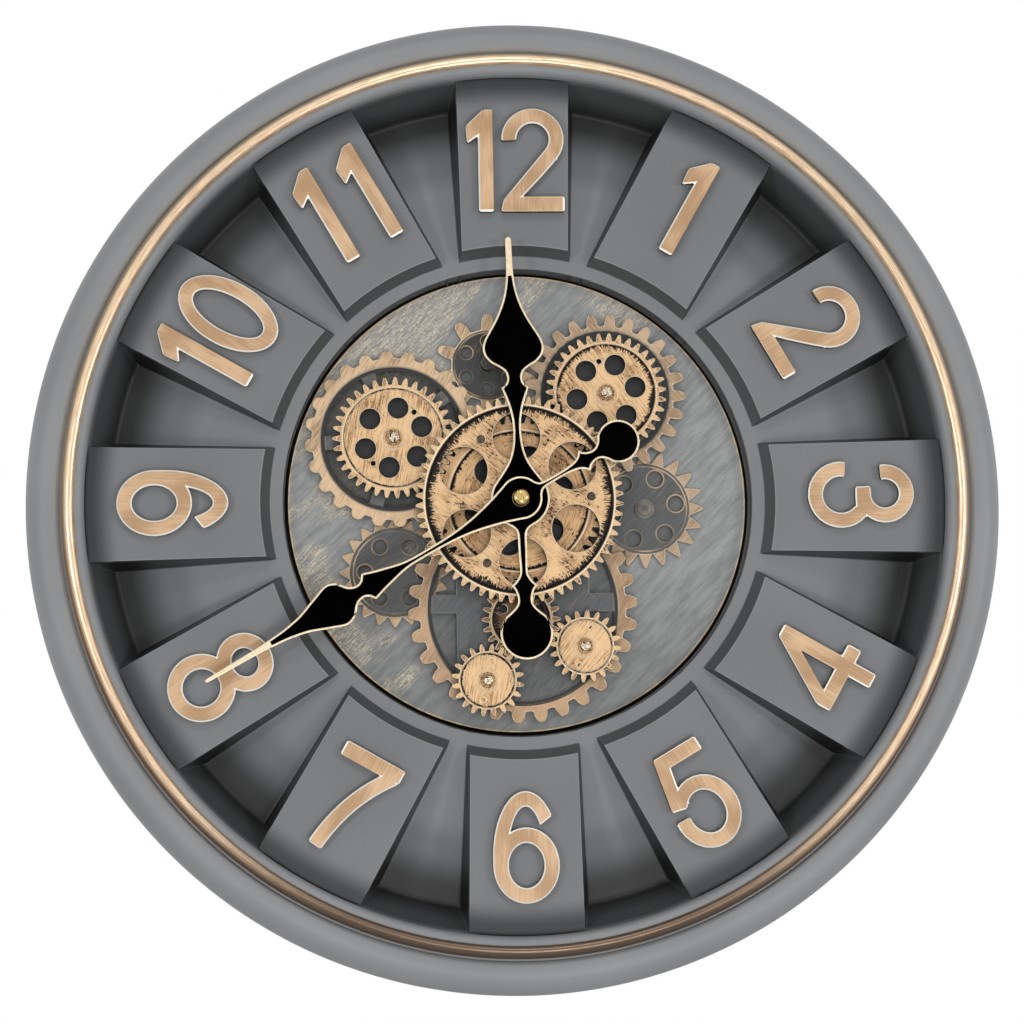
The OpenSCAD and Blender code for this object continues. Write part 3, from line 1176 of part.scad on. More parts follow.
outer_frame();
trim_ring();
dial_tray();
gear_plate();
numeral_1();
numeral_2();
numeral_3();
numeral_4();
numeral_5();
numeral_6();
numeral_7();
numeral_8();
numeral_9();
numeral_10();
numeral_11();
numeral_12();
relief_gear_upper_left();
relief_gear_upper_right();
relief_gear_top();
relief_gear_left();
relief_gear_right();
relief_gear_lower();
main_gear_front();
main_gear_rear();
main_gear_rivets();
upper_left_gear();
upper_right_gear();
lower_left_pinion();
lower_right_pinion();
drive_gear();
gear_studs();
stud_collars();
gear_sleeve();
hour_hand();
hour_hand_inlay();
minute_hand();
minute_hand_inlay();
cap_nut();
movement_case();
movement_cover();
movement_bush();
bush_nut();
rubber_washer();
minute_arbor();
hour_wheel();
minute_wheel();
setting_knob();
stepper_coil();
circuit_board();
movement_cell();
battery_contacts();
drive_housing();
drive_motor();
drive_shaft();
drive_cells();
switch_slider();
rear_panel();
hanger_plate();
screws();
wall_bumpers();
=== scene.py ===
# %% [markdown]
# # A gear wall clock, dressed for its portrait
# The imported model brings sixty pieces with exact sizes: a round rim, a deep tray with twelve blocks,
# numerals, gears, hands, and the works behind them. This lesson gives them their looks. Large moulded
# forms are worked out again as smooth surfaces, cut metal pieces get small bevels that catch the light,
# and every finish is a recipe of nodes that reads the piece's own coordinates.

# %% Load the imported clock
import json
import math

import bmesh
import bpy
import numpy as np
from mathutils import Matrix, Vector

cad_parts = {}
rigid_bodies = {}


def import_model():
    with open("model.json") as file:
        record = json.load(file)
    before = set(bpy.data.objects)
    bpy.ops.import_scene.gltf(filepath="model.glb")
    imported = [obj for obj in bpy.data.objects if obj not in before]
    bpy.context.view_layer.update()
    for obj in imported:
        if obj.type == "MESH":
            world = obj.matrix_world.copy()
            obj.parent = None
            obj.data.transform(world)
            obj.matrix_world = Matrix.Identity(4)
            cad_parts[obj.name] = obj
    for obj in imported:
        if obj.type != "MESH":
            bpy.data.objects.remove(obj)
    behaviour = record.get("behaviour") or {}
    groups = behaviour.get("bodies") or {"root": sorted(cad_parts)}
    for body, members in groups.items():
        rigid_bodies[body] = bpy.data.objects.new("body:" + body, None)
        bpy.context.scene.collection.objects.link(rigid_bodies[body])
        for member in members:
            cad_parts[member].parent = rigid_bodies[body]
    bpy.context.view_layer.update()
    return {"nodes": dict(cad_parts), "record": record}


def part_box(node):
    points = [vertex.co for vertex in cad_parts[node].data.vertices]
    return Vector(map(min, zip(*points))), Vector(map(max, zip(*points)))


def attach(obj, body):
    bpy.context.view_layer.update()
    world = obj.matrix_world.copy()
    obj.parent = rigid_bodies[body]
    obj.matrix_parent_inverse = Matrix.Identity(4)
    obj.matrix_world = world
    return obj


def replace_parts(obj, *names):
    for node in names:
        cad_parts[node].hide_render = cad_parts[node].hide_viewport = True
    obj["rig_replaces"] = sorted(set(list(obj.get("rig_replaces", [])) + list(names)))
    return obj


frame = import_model()
nodes = frame["nodes"]
body_of_node = {n: b for b, members in frame["record"]["behaviour"]["bodies"].items() for n in members}
slot_of_node = {p["node"]: p["material_slot"] for p in frame["record"]["subparts"]}
MM = 0.001

# %% [markdown]
# ## Sizes
# Radii (R), widths (W) and heights above the wall (H) are in millimetres and agree with the imported model. The rim,
# the tray and the painted shade in the tray all read them from here.

# %% Sizes in mm
CLOCK_R, BEAD_TOP_H, SKIN, HEEL = 300.0, 70.0, 3.2, 3.0
CROWN_R, CROWN_IN, CROWN_H, BAND_ROUND_H = 283.0, 14.4, 65.5, 27.5
BEAD_OUT_R, BEAD_IN_R, RIM_IN_R, FLANGE_R = 274.2, 266.2, 261.0, 282.0
LEDGE_W, LEDGE_H, SEAT_H, BLOCK_H, LIP_DROP = 1.2, 61.3, 60.8, 57.0, 6.0
CREST_R, LIP_H = 269.0, 66.4
RING_IN_R, RING_OUT_R, RING_H, BLOCK_IN_R, PLATE_FRONT_H = 142.16, 150.36, 51.0, 156.46, 42.0
POCKET_OUT_R, POCKET_H, DRAFT, TRAY_WALL = 247.0, 34.0, math.tan(math.radians(10)), 1.6
BLOCK_IN_W, BLOCK_OUT_W, RING_EDGE, HOURS = 65.5, 69.5, 1.8, 12
print("rim", 2 * CLOCK_R, "mm across; pockets", BLOCK_H - POCKET_H, "mm deep below the blocks")

# %% [markdown]
# ## The camera
# The picture was taken from a little to the left of the clock and a little below its centre, from about
# 1.6 metres. The camera is turned by one degree about its line of sight, so the dial looks slightly rolled.
# Its lens is long, which keeps the near rim and the deep pockets in almost the same scale.

# %% Place the camera
CAMERA_BEARING, CAMERA_RISE, CAMERA_ROLL = (math.radians(a) for a in (-4.06, -5.75, -1.03))
CAMERA_AIM = Vector((-4.2, -50.0, -6.6)) * MM
CAMERA_AWAY = 1.6
FOCAL_PIXELS, PICTURE_PIXELS, SENSOR_WIDTH = 2636, 1024, 36.0
towards = Vector((math.sin(CAMERA_BEARING) * math.cos(CAMERA_RISE),
                  -math.cos(CAMERA_BEARING) * math.cos(CAMERA_RISE), math.sin(CAMERA_RISE)))
level_right = (-towards).cross(Vector((0, 0, 1))).normalized()
level_up = level_right.cross(-towards)
right = level_right * math.cos(CAMERA_ROLL) + level_up * math.sin(CAMERA_ROLL)
up = level_up * math.cos(CAMERA_ROLL) - level_right * math.sin(CAMERA_ROLL)
lens = bpy.data.cameras.new("portrait_lens")
lens.sensor_width, lens.lens = SENSOR_WIDTH, SENSOR_WIDTH * FOCAL_PIXELS / PICTURE_PIXELS
camera = bpy.data.objects.new("portrait_camera", lens)
bpy.context.scene.collection.objects.link(camera)
camera.matrix_world = Matrix.Translation(CAMERA_AIM + towards * CAMERA_AWAY) @ Matrix(
    (right, up, towards)).transposed().to_4x4()
bpy.context.scene.camera = camera
bpy.context.scene.view_settings.view_transform = "Standard"
print("camera at", [round(v, 3) for v in camera.matrix_world.translation])

# %% [markdown]
# ## Helpers for finishes
# A finish is a small tree of nodes. All patterns start from the piece's own coordinates, and a Mapping node
# of the texture kind first moves to a centre, then turns, then divides by a grain size, so that one noise
# cell is as long and as wide as that size says in millimetres.

# %% Node helpers
HUB = (0.0, 0.0)
SIDE_TURN, BEVEL_TURN, FACE_TURN = (0.05, 0.4), (0.35, 0.55), (0.985, 0.93)


def centre_mm(node):
    """Centre of a node's box on the dial, as (x, z) in mm."""
    low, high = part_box(node)
    return ((low.x + high.x) / 2 / MM, (low.z + high.z) / 2 / MM)


def tone(code):
    """Linear colour of a six-digit screen colour."""
    screen = np.array([int(code[i:i + 2], 16) for i in (0, 2, 4)]) / 255
    linear = np.where(screen <= 0.04045, screen / 12.92, ((screen + 0.055) / 1.055) ** 2.4)
    return (*linear.tolist(), 1.0)


def start_finish(name):
    """A new material and its empty tree."""
    made = bpy.data.materials.new(name)
    made.use_nodes = True
    made.node_tree.nodes.clear()
    return made, made.node_tree


def put(tree, kind, settings=None, **inputs):
    """Adds a node. An input is a value or another node's socket; iN names an input by its number."""
    node = tree.nodes.new("ShaderNode" + kind)
    for key, value in (settings or {}).items():
        setattr(node, key, value)
    for key, value in inputs.items():
        socket = node.inputs[int(key[1:])] if key[1:].isdigit() else node.inputs[key.replace("_", " ")]
        if isinstance(value, bpy.types.NodeSocket):
            tree.links.new(value, socket)
        else:
            socket.default_value = value
    return node


def sums(tree, operation, a, b=0.5):
    """One step of arithmetic."""
    return put(tree, "Math", {"operation": operation}, i0=a, i1=b).outputs[0]


def weighed(tree, *pairs):
    """The sum of values, each times its weight."""
    total = sums(tree, "MULTIPLY", *pairs[0])
    for value, weight in pairs[1:]:
        total = sums(tree, "ADD", total, sums(tree, "MULTIPLY", value, weight))
    return total


def ramp(tree, value, low, high, to_low=0.0, to_high=1.0):
    """A smooth step: to_low below low, to_high above high."""
    return put(tree, "MapRange", {"interpolation_type": "SMOOTHSTEP"}, Value=value, From_Min=low, From_Max=high,
               To_Min=to_low, To_Max=to_high).outputs[0]


def band(tree, value, middle, half, fade):
    """One within a half width of the middle, falling to nought over the fade beyond it."""
    away = sums(tree, "ABSOLUTE", sums(tree, "SUBTRACT", value, middle))
    return ramp(tree, away, half, half + fade, 1.0, 0.0)


def mix(tree, share, first, second):
    """Two colours mixed by a share."""
    return put(tree, "Mix", {"data_type": "RGBA"}, i0=share, i6=first, i7=second).outputs[2]


def own_mm(tree, size=(1, 1, 1), turn=0.0, centre=HUB):
    """The piece's own coordinates from a centre on the dial, turned clockwise by degrees, over a size in mm."""
    own = put(tree, "TexCoord").outputs["Object"]
    return put(tree, "Mapping", {"vector_type": "TEXTURE"}, Vector=own,
               Location=(centre[0] * MM, 0, centre[1] * MM), Rotation=(0, math.radians(turn), 0),
               Scale=tuple(s * MM for s in size)).outputs[0]


def grain(tree, size, turn=0.0, centre=HUB, detail=2.0, rough=0.5):
    """Noise whose cells are size = (across, deep, along) mm, turned clockwise by degrees about a centre."""
    return put(tree, "TexNoise", Vector=own_mm(tree, size, turn, centre), Scale=1.0, Detail=detail,
               Roughness=rough).outputs["Fac"]


def flattened(tree, centre=HUB):
    """Own coordinates in mm from a centre, with the depth left out."""
    return put(tree, "VectorMath", {"operation": "MULTIPLY"}, i0=own_mm(tree, centre=centre),
               i1=(1, 0, 1)).outputs[0]


def radius_mm(tree, centre=HUB):
    """Distance in mm from an axis that stands on the dial at a centre in mm."""
    return put(tree, "VectorMath", {"operation": "LENGTH"}, i0=flattened(tree, centre)).outputs["Value"]


def round_grain(tree, centre, radius, along, across, detail=2.0, rough=0.5):
    """Noise that runs round a centre: its cells are along mm long round a circle of the given radius and
    across mm wide along the radius. The direction on the unit circle takes the place of the angle, so the
    pattern closes on itself."""
    flat = flattened(tree, centre)
    direction = put(tree, "VectorMath", {"operation": "NORMALIZE"}, i0=flat).outputs[0]
    spread = put(tree, "VectorMath", {"operation": "MULTIPLY"}, i0=direction,
                 i1=(radius / along, 0, radius / along)).outputs[0]
    out = sums(tree, "DIVIDE", radius_mm(tree, centre), across)
    placed = put(tree, "VectorMath", {"operation": "ADD"}, i0=spread,
                 i1=put(tree, "CombineXYZ", Y=out).outputs[0]).outputs[0]
    return put(tree, "TexNoise", Vector=placed, Scale=1.0, Detail=detail, Roughness=rough).outputs["Fac"]


def scaled(tree, colour, share):
    """A colour times a share."""
    return put(tree, "VectorMath", {"operation": "SCALE"}, i0=colour, i3=share).outputs[0]


def in_wells(tree, colour, wells):
    """Darkens a colour behind gears, where little light gets in: each well is (centre, full within, gone
    beyond, share left)."""
    for centre, inner, outer, left in wells:
        colour = scaled(tree, colour, ramp(tree, radius_mm(tree, centre), inner, outer, left, 1.0))
    return colour


def facing(tree):
    """One on faces that look straight out of the dial, falling to nought on the sides."""
    own = put(tree, "TexCoord").outputs["Normal"]
    return sums(tree, "MULTIPLY", put(tree, "SeparateXYZ", Vector=own).outputs["Y"], -1.0)


def side_shade_and_bevel_highlight(tree, colour, side, edge, share):
    """Paints shade on a cut piece's sides and a painted highlight on the narrow bevel between side and face. What
    counts as side, bevel and face goes by how far a surface is turned to the front."""
    front = facing(tree)
    colour = mix(tree, ramp(tree, front, *SIDE_TURN), tone(side), colour)
    bevel = sums(tree, "MULTIPLY", ramp(tree, front, *BEVEL_TURN), ramp(tree, front, *FACE_TURN))
    return mix(tree, sums(tree, "MULTIPLY", bevel, share), colour, tone(edge))


def finish_with(tree, made, colour, metallic, roughness, height=None, bump=0.1, depth=0.1, **more):
    """Ends a tree in the surface shader, with an optional bump of a depth in mm."""
    shader = put(tree, "BsdfPrincipled", Base_Color=colour, Metallic=metallic, Roughness=roughness, **more)
    if height is not None:
        bumped = put(tree, "Bump", Height=height, Strength=bump, Distance=depth * MM).outputs[0]
        tree.links.new(bumped, shader.inputs["Normal"])
    out = put(tree, "OutputMaterial")
    tree.links.new(shader.outputs[0], out.inputs["Surface"])
    return made


# %% [markdown]
# ## A white studio
# The clock hangs before plain white. The world is white for the camera and for gloss, and a gentler grey for
# the light that it sheds, so that surfaces render about as they are painted. Four square lamps stand round the
# clock, above it, beside it and below it, and the recesses darken under them, helped by painted shade in the tray.

# %% Light
WORLD_SHED, WORLD_SEEN, WHITE = 0.42, 1.0, (1, 1, 1, 1)
LAMPS = {"top_lamp": ((0, -1.8, 1.95), 0.3, 8), "left_lamp": ((-1.75, -1.64, 0), 0.3, 9.5),
         "right_lamp": ((1.75, -1.64, 0), 0.3, 10), "low_lamp": ((0.2, -1.7, -0.9), 0.5, 8)}
world = bpy.data.worlds.new("white_studio")
bpy.context.scene.world = world
world.use_nodes = True
sky = world.node_tree
sky.nodes.clear()
seen = put(sky, "LightPath").outputs
seen_direct = sums(sky, "MAXIMUM", seen["Is Camera Ray"], seen["Is Glossy Ray"])
seen_any = sums(sky, "MAXIMUM", seen_direct, seen["Is Transmission Ray"])
strength = put(sky, "MapRange", Value=seen_any, To_Min=WORLD_SHED, To_Max=WORLD_SEEN).outputs[0]
backdrop = put(sky, "Background", Color=WHITE, Strength=strength)
put(sky, "OutputWorld", Surface=backdrop.outputs[0])


def soft_lamp(name, place, size, power):
    """A square lamp at a place in metres that looks at the clock; size is its side and power its watts."""
    light = bpy.data.lights.new(name, "AREA")
    light.shape, light.size, light.energy = "SQUARE", size, power
    lamp = bpy.data.objects.new(name, light)
    bpy.context.scene.collection.objects.link(lamp)
    lamp.location = place
    lamp.rotation_euler = (-Vector(place)).to_track_quat("-Z", "Y").to_euler()


for lamp_name, (lamp_place, lamp_size, lamp_power) in LAMPS.items():
    soft_lamp(lamp_name, lamp_place, lamp_size, lamp_power)
print("lamps", *LAMPS)

# %% [markdown]
# ## Helpers for surfaces
# Every moulded form here is a grid of points: one parameter runs along a profile and the other round the
# clock's axis. The grid becomes four-cornered faces in one step, with no loop over its points.

# %% Grids, rings and profiles
def dial_point(radius, bearing, height):
    """World place in metres of a point given by its radius in mm, its bearing clockwise from twelve in
    radians, and its height from the wall in mm: x = r sin b, y = -h, z = r cos b."""
    radius, bearing, height = np.broadcast_arrays(radius, bearing, height)
    return np.stack([radius * np.sin(bearing), -height, radius * np.cos(bearing)], axis=-1) * MM


def grid_mesh(name, points, close_rows=False, close_columns=False):
    """Mesh of a grid of points (rows, columns, 3). A closed direction joins its last line to its first."""
    rows, columns = points.shape[:2]
    row = np.arange(rows if close_rows else rows - 1)[:, None]
    column = np.arange(columns if close_columns else columns - 1)[None, :]
    next_row, next_column = (row + 1) % rows, (column + 1) % columns
    faces = np.stack([row * columns + column, row * columns + next_column,
                      next_row * columns + next_column, next_row * columns + column], axis=-1).reshape(-1, 4)
    mesh = bpy.data.meshes.new(name)
    mesh.vertices.add(rows * columns)
    mesh.vertices.foreach_set("co", points.astype(np.float32).ravel())
    mesh.loops.add(faces.size)
    mesh.loops.foreach_set("vertex_index", faces.astype(np.int32).ravel())
    mesh.polygons.add(len(faces))
    mesh.polygons.foreach_set("loop_start", np.arange(0, faces.size, 4, dtype=np.int32))
    mesh.update(calc_edges=True)
    mesh.validate()
    return mesh


def turn_outwards(mesh):
    """Recalculates a closed mesh's normals so that all faces point outwards."""
    work = bmesh.new()
    work.from_mesh(mesh)
    bmesh.ops.recalc_face_normals(work, faces=work.faces)
    work.to_mesh(mesh)
    work.free()


def shade(mesh, sharp_over):
    """Smooth shading, with edges kept crisp where faces meet at more than the given degrees."""
    mesh.polygons.foreach_set("use_smooth", np.ones(len(mesh.polygons), bool))
    mesh.set_sharp_from_angle(angle=math.radians(sharp_over))


def arc(centre_r, centre_h, reach_r, reach_h, start, end, steps):
    """Points (radius, height) on an ellipse from one angle to another, in degrees from the outward side."""
    a = np.radians(np.linspace(start, end, steps + 1))
    return np.stack([centre_r + reach_r * np.cos(a), centre_h + reach_h * np.sin(a)], axis=-1)


def revolve(name, profile, steps=360):
    """Carries a closed profile of (radius, height) points round the clock's axis."""
    profile = np.asarray(profile, float)
    bearing = np.linspace(0, 2 * np.pi, steps, endpoint=False)
    mesh = grid_mesh(name, dial_point(profile[:, :1], bearing[None, :], profile[:, 1:]), True, True)
    turn_outwards(mesh)
    return mesh


def new_piece(name, mesh, finish, body, slot, *replaced, sharp_over=35):
    """Puts a finished mesh into the scene, on its body, with its finish and the nodes that it stands for."""
    piece = bpy.data.objects.new(name, mesh)
    bpy.context.scene.collection.objects.link(piece)
    mesh.materials.clear()
    mesh.materials.append(finish)
    shade(mesh, sharp_over)
    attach(piece, body)
    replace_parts(piece, *replaced)
    return piece


# %% [markdown]
# ## Painted grey
# Rim and tray are moulded in one grey and sprayed with a satin paint. Up close it has a faint orange peel and
# a slow drift of tone. It is nearly matt, so it needs no metal, only a soft gloss. In the tray, shade is painted
# into the colour: painted shadow darkens the pockets and slopes, and a painted highlight pales the blocks' front edges.

# %% Grey paints
# Fades of painted shade are (from, to, share of the tone before, share after), by radius in mm or by the turn to the
# front;
# the foot band is painted shade too. Depths are in mm below the blocks' faces.
POCKET_FADE, POCKET_SHADOW, WALL_LIFT = (195, 213, 1.1, 0.76), (214, 238, 1.0, 0.15), (249, 256, 0.0, 0.14)
FACE_FADE, SLOPE_FADE, WALL_FADE = (240, 256, 1.0, 0.22), (0.72, 0.93, 0.29, 1.0), (243, 249, 0.0, 1.0)
FOOT_LEFT, FOOT_HALF, FOOT_SOFT = 0.55, 1.2, 2.2
# Painted highlight along the blocks' front edges: turn to the front, half width and gain.
HIGHLIGHT_TURN, HIGHLIGHT_HALF, HIGHLIGHT_GAIN = 0.93, 0.03, 0.5
FACE_DEPTHS, HIGHLIGHT_DEPTHS = (3.0, 0.7), (1.5, 0.8)


def recess_painted_shade(tree):
    """Share of the paint's tone left on the tray, with shade painted in: level by level, painted shadow darkens a
    pocket floor outwards, most along its foot, and lifts a little on the wall, and painted shadow darkens a block's
    face just under the rim; every slope carries painted shade, and a painted highlight pales the blocks' front edges."""
    height = sums(tree, "MULTIPLY", put(tree, "SeparateXYZ", Vector=own_mm(tree)).outputs["Y"], -1.0)
    front, out = facing(tree), radius_mm(tree)
    floor = sums(tree, "MULTIPLY", ramp(tree, out, *POCKET_FADE), ramp(tree, out, *POCKET_SHADOW))
    floor = sums(tree, "ADD", floor, ramp(tree, out, *WALL_LIFT))
    foot = band(tree, out, POCKET_OUT_R, FOOT_HALF, FOOT_SOFT)
    floor = sums(tree, "MULTIPLY", floor, ramp(tree, foot, 0, 1, 1.0, FOOT_LEFT))
    on_block = ramp(tree, height, *(BLOCK_H - depth for depth in FACE_DEPTHS))
    level = put(tree, "Mix", i0=on_block, i2=floor, i3=ramp(tree, out, *FACE_FADE)).outputs[0]
    slope = sums(tree, "MAXIMUM", ramp(tree, front, *SLOPE_FADE), ramp(tree, out, *WALL_FADE))
    edge_highlight = sums(tree, "MULTIPLY", band(tree, front, HIGHLIGHT_TURN, HIGHLIGHT_HALF, HIGHLIGHT_HALF),
                ramp(tree, height, *(BLOCK_H - depth for depth in HIGHLIGHT_DEPTHS), 0.0, HIGHLIGHT_GAIN))
    return sums(tree, "MULTIPLY", level, sums(tree, "ADD", slope, edge_highlight))


def satin_grey(name, colour, darker, with_recess_shade=False):
    """Two greys that drift into each other over 70 mm, under a fine orange peel; the tray's flag adds its painted
    shade.
    """
    made, tree = start_finish(name)
    drift = ramp(tree, grain(tree, (70, 70, 70), detail=1.0), 0.35, 0.65)
    peel = grain(tree, (0.9, 0.9, 0.9), detail=2.0)
    paint = mix(tree, drift, tone(darker), tone(colour))
    if with_recess_shade:
        paint = scaled(tree, paint, recess_painted_shade(tree))
    return finish_with(tree, made, paint, 0.0, ramp(tree, peel, 0.3, 0.7, 0.46, 0.54), height=peel, bump=0.1,
                       depth=0.12, Specular_IOR_Level=0.35)


rim_paint = satin_grey("rim_satin_grey", "8f9193", "8a8c8e")
dial_paint = satin_grey("dial_satin_grey", "797b7d", "757779", with_recess_shade=True)
print("paints", rim_paint.name, dial_paint.name)

# %% [markdown]
# ## Brushed bronze
# Numerals and bead are metal-look bronze. The face is brushed one way; the sides get dark painted shade and the narrow
# bevel round the face a pale painted highlight. The bevel is found by the way it faces: it is neither front nor side.

# %% Bronze finishes
def brushed_bronze(name, turn):
    """Fine lines 14 mm long that run at an angle of turn degrees, a slow drift of tone, painted shade on the sides and
    a pale painted highlight on the bevel.
    """
    made, tree = start_finish(name)
    lines = grain(tree, (0.35, 8, 14), turn=turn, detail=3.0, rough=0.6)
    drift = grain(tree, (14, 14, 22), turn=turn, detail=1.0)
    brushed = ramp(tree, weighed(tree, (lines, 0.5), (drift, 0.6)), 0.42, 0.7)
    colour = mix(tree, brushed, tone("b5906b"), tone("ddb993"))
    return finish_with(tree, made, side_shade_and_bevel_highlight(tree, colour, "0d0a08", "fffaf0", 1.0), 0.12,
                       ramp(tree, lines, 0.3, 0.7, 0.36, 0.48), height=lines, bump=0.1, depth=0.05)


BEAD_LINES_R, FLANK_R, FLANK_SHADE, SHADE_BELOW = 268, (270.2, 272.6), (-150, 100), (-255, -160)


def bead_finish():
    """The bead is polished round its crest, with lines 12 mm long. Painted shade browns its outer flank in the lower
    half of the clock and painted light pales it above, and near six o'clock painted shade makes the whole bead dull
    brown."""
    made, tree = start_finish("bead_bronze")
    lines = round_grain(tree, HUB, BEAD_LINES_R, 12, 0.4, detail=3.0)
    colour = mix(tree, ramp(tree, lines, 0.35, 0.65), tone("d8b693"), tone("f5dabb"))
    upwards = put(tree, "SeparateXYZ", Vector=own_mm(tree)).outputs["Z"]
    flank = mix(tree, ramp(tree, upwards, *FLANK_SHADE), tone("96745a"), tone("ecd0a8"))
    colour = mix(tree, ramp(tree, radius_mm(tree), *FLANK_R), colour, flank)
    colour = mix(tree, ramp(tree, upwards, *SHADE_BELOW, 1.0, 0.0), colour, tone("6d5a4b"))
    return finish_with(tree, made, colour, 0.7, ramp(tree, lines, 0.3, 0.7, 0.26, 0.36), height=lines, bump=0.06,
                       depth=0.05)


bead_bronze = bead_finish()
print("bead", bead_bronze.name)

# %% [markdown]
# ## Antique gears
# The turning gears were cast in a bronze tone, dabbed with dark wax and rubbed clean again. Wax stays in the
# engraved ring and creeps inwards from it in short ragged strokes, more in some places than in others. It also
# stays in fine scratches that follow the rubbing. Painted shade in the wax tone darkens the teeth's flanks and other
# sides, and painted highlights line the bevels and the outer edge of the engraved ring.

# %% Gear finishes
# The dark wax tone, which also serves as painted shade on the sides, and the place of a painted highlight just outside
# the engraved ring.
WAX_AND_SHADE, WAX_SOFT, PALE_OUT, PALE_HALF, PALE_SOFT = "140c07", 0.25, 0.7, 0.3, 0.4


def antique_bronze(name, centre, ring, turn, wax_run, curved, light="e2bd90", mid="9c7550", scratched=0.315,
                   line_half=0.05):
    """Rubbed bronze round a centre. The engraved ring has a radius in mm, the rubbing a direction in degrees, or it
    runs round if curved, and the wax reaches about wax_run mm inwards. Lower scratched means more scratches."""
    made, tree = start_finish(name)
    out = radius_mm(tree, centre)
    if curved:
        strokes = round_grain(tree, centre, ring, 22, 0.8, detail=4.0, rough=0.65)
    else:
        strokes = grain(tree, (0.5, 12, 10), turn=turn, centre=centre, detail=4.0, rough=0.62)
    blotch = grain(tree, (15, 15, 15), turn=turn, centre=centre, detail=2.0)
    fine = grain(tree, (1.1, 9, 2.4), turn=turn - 12, centre=centre, detail=3.0, rough=0.7)
    shade_by = weighed(tree, (strokes, 0.7), (blotch, 0.35))
    colour = mix(tree, ramp(tree, shade_by, 0.4, 0.58), tone(mid), tone(light))
    scratch = ramp(tree, weighed(tree, (fine, 0.8), (blotch, -0.35)), scratched, scratched + 0.06)
    colour = mix(tree, scratch, colour, tone(WAX_AND_SHADE))
    hatch = round_grain(tree, centre, ring, 0.75, 3.5, detail=2.0, rough=0.6)
    inwards = sums(tree, "DIVIDE", sums(tree, "SUBTRACT", ring, out), wax_run)
    grown = weighed(tree, (hatch, 0.9), (blotch, 0.8), (inwards, -0.42))
    wax = sums(tree, "MULTIPLY", ramp(tree, grown, 0.6, 0.66), ramp(tree, out, ring - 0.3, ring + 0.5, 1.0, 0.0))
    line = band(tree, out, ring - 0.1, line_half, WAX_SOFT)
    # A pale painted highlight just outside the engraved ring.
    pale = band(tree, out, ring + PALE_OUT + line_half, PALE_HALF, PALE_SOFT)
    # Painted shade on the sides in the wax tone, and a painted highlight on the bevels.
    colour = side_shade_and_bevel_highlight(tree, colour, WAX_AND_SHADE, "ffebcb", 0.9)
    colour = mix(tree, sums(tree, "MULTIPLY", pale, 0.8), colour, tone("ffe9c8"))
    colour = mix(tree, sums(tree, "MAXIMUM", wax, line), colour, tone(WAX_AND_SHADE))
    return finish_with(tree, made, colour, 0.5, ramp(tree, strokes, 0.3, 0.7, 0.38, 0.52), height=strokes,
                       bump=0.3, depth=0.12)


# %% [markdown]
# ## Fixed ornament gears and the plate
# They are sprayed gunmetal, then a bronze cream is dragged over what stands proud: the toothed rims most of
# all, the flat bodies only in a few dry strokes, and thin lines where a shallow step was. The plate gets the
# longest strokes, on a slant. Painted shade darkens grooves, sides and the places behind the turning gears, and
# painted highlights line the bevels and the plate's edge.

# %% Dry-brushed finishes
LINE_HALF, LINE_SOFT, HOLE_LINE_OUT = 0.15, 0.45, 0.4


def from_holes(tree, centre, out, count, circle, bearing):
    """Distance in mm from the nearest of some holes: the angle is folded into one repeat, so that with the
    folded angle a, the distance is the root of (r sin a)^2 + (r cos a - circle)^2."""
    flat = put(tree, "SeparateXYZ", Vector=flattened(tree, centre))
    angle = sums(tree, "ARCTAN2", flat.outputs["X"], flat.outputs["Z"])
    whole_turns = math.radians(bearing) - 4 * math.pi
    folded = sums(tree, "PINGPONG", sums(tree, "SUBTRACT", angle, whole_turns), math.pi / count)
    across = sums(tree, "MULTIPLY", out, sums(tree, "SINE", folded))
    along = sums(tree, "SUBTRACT", sums(tree, "MULTIPLY", out, sums(tree, "COSINE", folded)), circle)
    return sums(tree, "SQRT", sums(tree, "ADD", sums(tree, "MULTIPLY", across, across),
                                   sums(tree, "MULTIPLY", along, along)))


